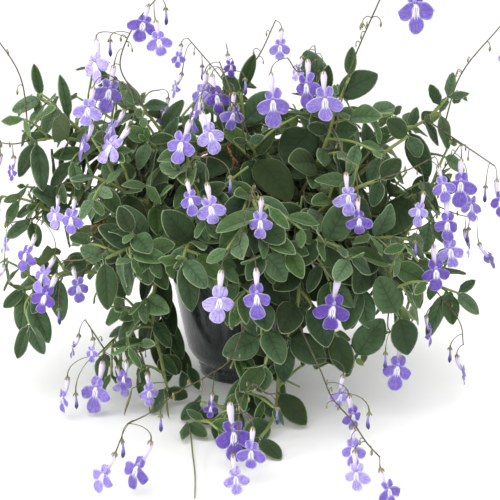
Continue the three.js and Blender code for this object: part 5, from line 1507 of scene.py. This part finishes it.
def make_stem_piece(name, axes, leaves, shoots, number):
    size = Sizes("primrose_leaves")
    skin = Skin()
    for axis, points in enumerate(axes):
        line = points if axis else np.vstack([[*points[0][:2], SOIL_TOP - FOOT_DEPTH], points])
        radii = 0.9 * spread([stem_radius(axis, 0), stem_radius(axis, 1)], len(line))
        radii[-1] *= 0.5
        tube(skin, line, radii, 8 if axis else 9, STEM, lengthwise=(0.45, 0.95) if axis else (0, 0.8))
    for line in shoots:
        tube(skin, line, (1.25, 0.85), 7, STEM, lengthwise=(0.6, 0.95))
    for i, leaf in enumerate(leaves):
        add_leaf(skin, leaf, size, drawer(number, i, 11), (UPPER, UNDER))
    for i, line in enumerate([*axes, *shoots]):
        width = STEM_BASE if i == 0 else SHOOT_BASE if i < len(axes) else 1.1
        add_hairs(skin, line, width * 0.8, size, drawer(number, i, 13))
    for i, row in enumerate(WITHERED.get(name, [])):
        add_hung(skin, axes, row, WITHERED_WIDTHS, DRY)
        for k in range(3):
            draw = drawer(number, i, k, 17)
            point = unit(vector(row[3:]) - row[:3] + 9 * any_way(draw))
            normal = unit(np.cross(point, vector([draw() - 0.5, 1, draw() - 0.5])))
            length, width = 8 + 5 * draw(), 4 + 3 * draw()
            scrap = Leaf(vector(row[3:]), point, normal, length, width, 0.5 * draw(), 0.5 * draw())
            add_leaf(skin, scrap, size, draw, (DRY, DRY))
    for row in PODS.get(name, []):
        add_hung(skin, axes, row, POD_WIDTHS, STEM)
    if name in BARE_STALKS:
        line = curve_points(BARE_STALKS[name], 8)
        tube(skin, line, (0.75, 0.4), 6, STEM, lengthwise=(0.15, 0.5))
    skin.piece(f"leafy_stem_{name}", finishes(STEM_FINISHES), f"stem_{name}")


def make_spray_piece(name, stalks, number):
    size = Sizes("primrose_flowers")
    skin = Skin()
    for i, (line, flowers, buds) in enumerate(stalks):
        add_stalk(skin, line, size, drawer(number, i, 7))
        for k, flower in enumerate(flowers):
            add_flower(skin, flower, size, drawer(number, i, k, 3))
        for k, bud in enumerate(buds):
            add_bud(skin, bud, size, drawer(number, i, k, 5))
    skin.piece(f"flower_spray_{name}", finishes(SPRAY_FINISHES), f"spray_{name}")


def turned_form(profile, sides):
    """A closed form turned about the Z axis from a profile that starts and ends on it"""
    profile = vector(profile)
    turns = np.arange(sides) * 2 * math.pi / sides
    inner = profile[1:-1]
    radii, heights = inner[:, None, 0], inner[:, None, 1]
    ring = stacked(radii * np.cos(turns), radii * np.sin(turns), heights).reshape(-1, 3)
    points = np.vstack([ring, [0, 0, profile[0, 1]], [0, 0, profile[-1, 1]]])
    return points, [faces[:, ::-1] for faces in ring_faces(len(inner), sides)]


def pot_profile():
    """The pot's section: foot ring, wall that bulges over it, step under the rim band, rolled rim"""
    foot = [[0, 1.1], *([FOOT_RADIUS + r, z] for r, z in FOOT_RING),
            *([FOOT_RADIUS + r, FOOT_BAND + z] for r, z in FOOT_STEP)]
    bends = [[WALL_FOOT, FOOT_BAND + 1.6], *BELLY, [WALL_TOP - 0.3, NECK - 2]]
    climb = [row[1:].tolist() for row in curve_points([[0, *bend] for bend in bends], 5)]
    rim = [[WALL_TOP, NECK - 1.2], [WALL_TOP + 0.6, NECK - 0.4], [UNDER_RIM - 0.5, NECK],
           [UNDER_RIM, NECK + 0.7], *([RIM_RADIUS + r, POT_HEIGHT + z] for r, z in RIM_ROLL)]
    inner = [[UNDER_RIM - POT_WALL, NECK + 2], [WALL_TOP - POT_WALL, NECK + 0.6],
             *([r - POT_WALL, z + 1] for r, z in BELLY[::-1]), [WALL_FOOT - POT_WALL, FOOT_BAND + 2],
             [FOOT_RADIUS - POT_WALL, POT_FLOOR + 1], [FOOT_RADIUS - POT_WALL - 1, POT_FLOOR],
             [0, POT_FLOOR]]
    return foot + climb + rim + inner


def cut_drain_holes(pot):
    """Round holes through the pot's floor, cut as one boolean that is then applied"""
    mesh = bpy.data.meshes.new("drain_cutter")
    shape = bmesh.new()
    for i in range(DRAIN_HOLES):
        angle = 2 * math.pi * (i + 0.5) / DRAIN_HOLES
        place = Vector((DRAIN_RING * math.cos(angle), DRAIN_RING * math.sin(angle), POT_FLOOR / 2)) * METRES
        bmesh.ops.create_cone(shape, cap_ends=True, segments=28, radius1=DRAIN_RADIUS * METRES,
                              radius2=DRAIN_RADIUS * METRES, depth=4 * POT_FLOOR * METRES,
                              matrix=Matrix.Translation(place))
    shape.to_mesh(mesh)
    shape.free()
    cutter = put("drain_cutter", mesh)
    cut = pot.modifiers.new("drain", "BOOLEAN")
    cut.operation, cut.solver, cut.object = "DIFFERENCE", "EXACT", cutter
    bpy.context.view_layer.update()
    holed = bpy.data.meshes.new_from_object(pot.evaluated_get(bpy.context.evaluated_depsgraph_get()))
    pot.modifiers.clear()
    pot.data = holed
    bpy.data.objects.remove(cutter)


def make_pot(colour):
    points, faces = turned_form(pot_profile(), POT_SIDES)
    skin = Skin()
    skin.add(points, PLAIN_SPOT, faces, 0)
    # Pot: polypropylene, injection moulded and handled: dark, satin, with dust and a painted sheen of faint
    # lighter vertical streaks.
    made, tree = finish_of("moulded_polypropylene", {
        "IOR": 1.49, "Specular IOR Level": 0.5, "Coat Weight": 0.6, "Coat Roughness": 0.12})
    known = {"place": node(tree, "TexCoord")["Object"]}
    weave(tree, known, (
        ("wide", "Mapping", "place", None, None, (1.0, 1.0, 0.05)),
        ("streak", "TexNoise", "wide", None, per_mm(5), 4.0),
        ("dust", "TexNoise", "place", None, per_mm(22), 6.0, 0.7),
        ("dust", "MapRange", "dust", 0.45, 0.75, 0.0, 0.35),
        # Painted sheen: faint lighter vertical streaks, mixed toward the dust colour along with the real
        # dust
        ("drawn", "MapRange", "streak", 0.55, 0.66, 0.0, 0.6),
        ("dust", "MAXIMUM", "dust", "drawn"),
        ("body", "Mix", "dust", colour.pot, colour.pot_dust),
        ("rough", "MapRange", "streak", 0.0, 1.0, 0.16, 0.42),
        ("grain", "TexNoise", "place", None, per_mm(0.9), 2.0),
        ("both", "MULTIPLY_ADD", "grain", 0.4, "streak")))
    tree.links.new(known["rough"], tree.nodes["Principled BSDF"].inputs["Roughness"])
    dress(made, known["body"], known["both"], 0.5, 0.12)
    pot = skin.piece("nursery_pot", [made], "pot")
    cut_drain_holes(pot)
    shade_by_angle(pot, CRISP_EDGE)


def shade_by_angle(thing, degrees):
    """Smooth faces, with the edges that turn more than an angle kept crisp"""
    mesh = thing.data
    mesh.polygons.foreach_set("use_smooth", np.ones(len(mesh.polygons), dtype=bool))
    shape = bmesh.new()
    shape.from_mesh(mesh)
    for edge in shape.edges:
        edge.smooth = len(edge.link_faces) == 2 and edge.calc_face_angle(0) < math.radians(degrees)
    shape.to_mesh(mesh)
    shape.free()


PERLITE_WIDTHS = vector([0.6, 0.95, 0.8, 0.25])


def soil_height(x, y):
    """How far the compost stands over its mean level: soft mounds and crumbs"""
    mounds = 1.1 * np.sin(x / 13 + 0.6) * np.cos(y / 11 - 0.4)
    crumbs = [noise.noise(Vector((a / 3.1, b / 3.1, 0.5))) * 1.3
              + noise.noise(Vector((a / 1.4, b / 1.4, 4))) * 0.7 for a, b in zip(x.ravel(), y.ravel())]
    return mounds + np.array(crumbs).reshape(x.shape)


def make_soil(size, colour):
    """The compost: a plug that fills the pot, with a crumbly top and a few grains of perlite"""
    bottom = POT_FLOOR + GAP
    depth = POT_WALL + 2 * GAP
    belly = [[r - depth, z + 1] for r, z in BELLY]
    widest, high = belly[-1]
    edge = widest + (WALL_TOP - depth - widest) * (SOIL_TOP - high) / (NECK - high)
    rings = [[r, SOIL_TOP] for r in np.linspace(edge, 0, SOIL_RINGS)]
    foot = [[0, bottom], [FOOT_RADIUS - depth, bottom], [WALL_FOOT - depth, FOOT_BAND + 2]]
    points, faces = turned_form(foot + belly + rings, SOIL_SIDES)
    top = points[:, 2] > SOIL_TOP - 0.1
    inward = np.clip((edge - np.hypot(points[:, 0], points[:, 1])) / 3, 0, 1)
    points[top, 2] += (soil_height(points[:, 0], points[:, 1]) * inward)[top]
    skin = Skin()
    skin.add(points, PLAIN_SPOT, faces, 0)
    draw = drawer(5, 77)
    for _ in range(size.perlite):
        far, turn = edge * 0.96 * math.sqrt(draw()), 2 * math.pi * draw()
        x, y = far * math.cos(turn), far * math.sin(turn)
        grain = size.perlite_size * (0.6 + 0.8 * draw())
        base = vector([x, y, SOIL_TOP + float(soil_height(np.array([x]), np.array([y]))[0]) - 0.3 * grain])
        line = [base, base + UP * 0.35 * grain, base + UP * 0.8 * grain, base + UP * 1.05 * grain]
        tube(skin, line, PERLITE_WIDTHS * grain * 0.8, 6, 1, draw())
    # Compost: peat and fine bark, damp. Nearly black-brown, very rough, with fibres and crumbs.
    peat = plain_finish("damp_peat_compost", {"Roughness": 0.93, "IOR": 1.4, "Specular IOR Level": 0.25},
                        ((0.3, "#1d1511"), (0.52, colour.soil), (0.75, "#5d4632")), 2, 8.0, 0.7, (1.0, 1.2))
    # Perlite: expanded volcanic glass, chalk white and pitted.
    perlite = plain_finish("expanded_perlite", {"Roughness": 0.85, "IOR": 1.5, "Specular IOR Level": 0.3},
                           ((0.35, "#b9b3a6"), (0.6, "#e6e2d8")), 0.6, relief=(0.8, 0.4))
    skin.piece("potting_compost", [peat, perlite], "soil")


def a_colour(name, description, default):
    return bpy.props.FloatVectorProperty(name=name, description=description, default=linear(default),
                                         size=4, min=0, max=1, subtype="COLOR")


def a_share(name, description, default, **more):
    return bpy.props.FloatProperty(name=name, description=description, default=default, min=0, **more)


def a_length(name, description, millimetres):
    return a_share(name, description, millimetres * METRES, subtype="DISTANCE", precision=5)


def an_angle(name, description, degrees):
    return a_share(name, description, math.radians(degrees), subtype="ANGLE")


class PrimroseColours(bpy.types.PropertyGroup):
    """The colours of the plant, its pot, its soil and the floor"""

    # The leaf colours from deepest to palest follow each leaf's tone, which carries painted shade: leaves
    # deep inside or low in the plant take the darker ones, outer leaves the paler
    leaf_deep: a_colour("Leaf, deepest", "Old leaves in shade", "#283210")
    leaf_mid: a_colour("Leaf, middle", "Most leaves", "#2f462e")
    leaf_pale: a_colour("Leaf, palest", "Leaves with a heavy bloom of hairs", "#5f7a5a")
    leaf_young: a_colour("Young leaf", "Leaves at the growing tips", "#4b6d2f")
    petal_dark: a_colour("Petal, darkest", "Freshly opened flowers", "#5d429c")
    petal_mid: a_colour("Petal, middle", "Most flowers", "#7865b8")
    petal_light: a_colour("Petal, light", "Older flowers", "#9484cc")
    petal_pale: a_colour("Petal, palest", "Fading flowers", "#b9ace4")
    petal_edge: a_colour("Petal edge", "Where light comes through the margin", "#d6cdf2")
    throat_white: a_colour("Throat", "The patch below the mouth", "#f1edfc")
    pot: a_colour("Pot", "Moulded plastic", "#1e2528")
    # The dust colour also paints the sheen streaks on the pot
    pot_dust: a_colour("Dust on the pot", "Where it is splashed and handled", "#58625f")
    soil: a_colour("Compost", "Damp peat", "#33261c")
    floor: a_colour("Floor", "The studio floor", "#fbfbfa")


class PrimroseLeaves(bpy.types.PropertyGroup):
    """Sizes of the leaves and of the fill among them"""

    leaf_thickness: a_length("Leaf thickness", "At the midrib", 1.0)
    petiole_width: a_length("Petiole width", "Of a large leaf", 2.6)
    midrib_depth: a_length("Midrib depth", "How far it is sunk", 0.55)
    quilting: a_length("Quilting", "Rise between side veins", 0.32)
    vein_sweep: a_share("Vein sweep", "How far side veins run forward", 0.3)
    margin_wave: a_length("Margin wave", "Mean wave of the margin", 0.7)
    margin_roll: a_length("Margin roll", "Drop of the rolled margin", 0.7)
    leaf_twist: a_share("Leaf twist", "Slope across by the tip", 0.35)
    leaf_fold: a_share("Leaf fold", "Rise of the sides beyond the packed leaf's", 0.12)
    leaf_sway: a_share("Leaf sway", "Sideways bend, share of length", 0.16)
    shoot_step: a_length("Shoot spacing", "Between side shoots", 11.6)
    shoot_length: a_length("Shoot length", "Mean side shoot", 34.0)
    flower_window: a_length("Flower window", "Kept clear in front of flowers", 120.0)
    hair_step: a_length("Hair spacing", "Along a stem", 1.3)
    hair_length: a_length("Hair length", "On the stems", 1.1)
    leaf_window: a_length("Leaf window", "Kept clear in front of shown leaves", 90.0)


class PrimroseFlowers(bpy.types.PropertyGroup):
    """Sizes of the flowers and their stalks"""

    petal_thickness: a_length("Petal thickness", "Thin sheet", 0.5)
    lobe_change: a_share("Lobe change", "How much a lobe's length changes", 0.28)
    lobe_swing: a_share("Lobe swing", "How far a lobe swings", 0.34)
    lobe_fold: a_share("Lobe fold", "Rise of a folded lobe's sides", 0.22)
    lobe_tip: a_share("Lobe tip", "How far a lobe's tip rolls", 0.5)
    lobe_ruffle: a_share("Lobe ruffle", "Wave of a lobe's margin", 0.042)
    tube_width: a_share("Tube width", "Against the common flower", 1.0)
    sepal_length: a_length("Sepal length", "Of each point", 2.2)
    pedicel_width: a_length("Flower thread width", "Where it is thinnest", 0.75)
    stalk_width: a_length("Stalk width", "At its start", 1.15)
    bud_step: a_length("Young bud spacing", "Along a stalk", 20.0)
    flower_size: a_share("Flower size", "Against the packed flower", 0.95)
    flower_turn: an_angle("Flower turn", "How far a flower turns from the packed one", 34)


class PrimrosePot(bpy.types.PropertyGroup):
    """Sizes of the compost's top"""

    perlite: bpy.props.IntProperty(name="Perlite grains", description="On the compost", default=120)
    perlite_size: a_length("Perlite size", "Mean grain", 1.4)


class PrimroseStage(bpy.types.PropertyGroup):
    """The studio"""

    lens: a_share("Lens", "Focal length on a 36 mm frame", 56.06)
    distance: a_length("Camera distance", "From the middle of the plant", LENS_DISTANCE)
    elevation: an_angle("Camera elevation", "Above level", ELEVATION)
    sky: a_share("Studio light", "Strength of the even light", 1.06)
    key: a_share("Key light", "Strength of the large lamp above", 1.0)


class BuildPot(bpy.types.Operator):
    """The moulded nursery pot, with its rim, foot band and drain holes"""

    bl_idname = "primrose.pot"
    bl_label = "Nursery pot"

    def execute(self, context):
        make_pot(context.scene.primrose_colours)
        return {"FINISHED"}


class BuildSoil(bpy.types.Operator):
    """The compost that fills the pot"""

    bl_idname = "primrose.soil"
    bl_label = "Compost"

    def execute(self, context):
        make_soil(Sizes("primrose_pot"), context.scene.primrose_colours)
        return {"FINISHED"}


class BuildStems(bpy.types.Operator):
    """Every leafy stem, with its side shoots and all its leaves"""

    bl_idname = "primrose.stems"
    bl_label = "Leafy stems"

    def execute(self, context):
        for number, (name, grown) in enumerate(plan()["stems"].items()):
            make_stem_piece(name, *grown, number)
        return {"FINISHED"}


class BuildSprays(bpy.types.Operator):
    """Every flower spray, with its stalks, flowers and buds"""

    bl_idname = "primrose.sprays"
    bl_label = "Flower sprays"

    def execute(self, context):
        for number, (name, stalks) in enumerate(plan()["sprays"].items()):
            make_spray_piece(name, stalks, number)
        return {"FINISHED"}


class BuildStage(bpy.types.Operator):
    """The pale floor, the soft studio light and the camera"""

    bl_idname = "primrose.stage"
    bl_label = "Stage"

    def execute(self, context):
        make_stage(context.scene.primrose_stage, context.scene.primrose_colours)
        return {"FINISHED"}


# The studio, in metres: each lamp's name, place, share of the key light's power, and width
FLOOR_REACH = 6.0
LAMPS = (("key", (-0.5, -0.9, 1.5), 1.0, 1.6), ("rim", (0.9, 0.8, 1.1), 0.5, 1.4),
         ("strip", (-1.1, -0.5, 0.25), 0.4, 0.14))
LAMP_WATTS = 12
SENSOR_WIDTH = 36


def aim(thing, place, target):
    """Stands a lamp or the camera at a place, turned to a target"""
    thing.location = place
    thing.rotation_euler = (target - place).to_track_quat("-Z", "Y").to_euler()


def make_stage(size, colour):
    scene = bpy.context.scene
    scene.view_settings.view_transform = "Standard"
    mesh = bpy.data.meshes.new("studio_floor")
    far = FLOOR_REACH
    mesh.from_pydata([(-far, -far, 0), (far, -far, 0), (far, far, 0), (-far, far, 0)], [], [(0, 1, 2, 3)])
    floor = put("studio_floor", mesh)
    # Floor: matt painted board, even and nearly white.
    made, _ = finish_of("matt_painted_board", {"Roughness": 0.9, "Base Color": colour.floor})
    mesh.materials.append(made)
    scene.world = bpy.data.worlds.new("studio")
    scene.world.use_nodes = True
    light = scene.world.node_tree.nodes["Background"].inputs
    light["Color"].default_value, light["Strength"].default_value = (1, 1, 1, 1), size.sky
    target = Vector(AIM * METRES)
    for name, place, power, width in LAMPS:
        lamp = bpy.data.lights.new(name, "AREA")
        lamp.energy, lamp.size = LAMP_WATTS * power * size.key, width
        aim(put(name, lamp), Vector(place), target)
    lens = bpy.data.cameras.new("view")
    lens.lens, lens.sensor_width = size.lens, SENSOR_WIDTH
    scene.camera = put("view", lens)
    away = Vector((0, -math.cos(size.elevation), math.sin(size.elevation)))
    aim(scene.camera, target + size.distance * away, target)


class PrimrosePanel(bpy.types.Panel):
    """Lists the sizes, the colours and the pieces to build"""

    bl_idname = "VIEW3D_PT_primrose"
    bl_label = "Cape primrose"
    bl_space_type = "VIEW_3D"
    bl_region_type = "UI"
    bl_category = "Cape primrose"

    def draw(self, context):
        scene = context.scene
        for group in (getattr(scene, name) for name in GROUPS):
            box = self.layout.box()
            for name in group.__annotations__:
                box.prop(group, name)
        for operator in OPERATORS:
            self.layout.operator(operator.bl_idname)


GROUPS = {"primrose_colours": PrimroseColours, "primrose_leaves": PrimroseLeaves,
          "primrose_pot": PrimrosePot, "primrose_flowers": PrimroseFlowers, "primrose_stage": PrimroseStage}
OPERATORS = [BuildStage, BuildPot, BuildSoil, BuildStems, BuildSprays]


def register():
    for group in (*GROUPS.values(), *OPERATORS, PrimrosePanel):
        bpy.utils.register_class(group)
    for name, group in GROUPS.items():
        setattr(bpy.types.Scene, name, bpy.props.PointerProperty(type=group))


def unregister():
    for name in GROUPS:
        delattr(bpy.types.Scene, name)
    for group in (PrimrosePanel, *OPERATORS, *GROUPS.values()):
        bpy.utils.unregister_class(group)


def main():
    register()
    bpy.ops.primrose.stage()
    bpy.ops.primrose.pot()
    bpy.ops.primrose.soil()
    bpy.ops.primrose.stems()
    bpy.ops.primrose.sprays()
    bpy.context.view_layer.update()


if __name__ == "__main__":
    main()
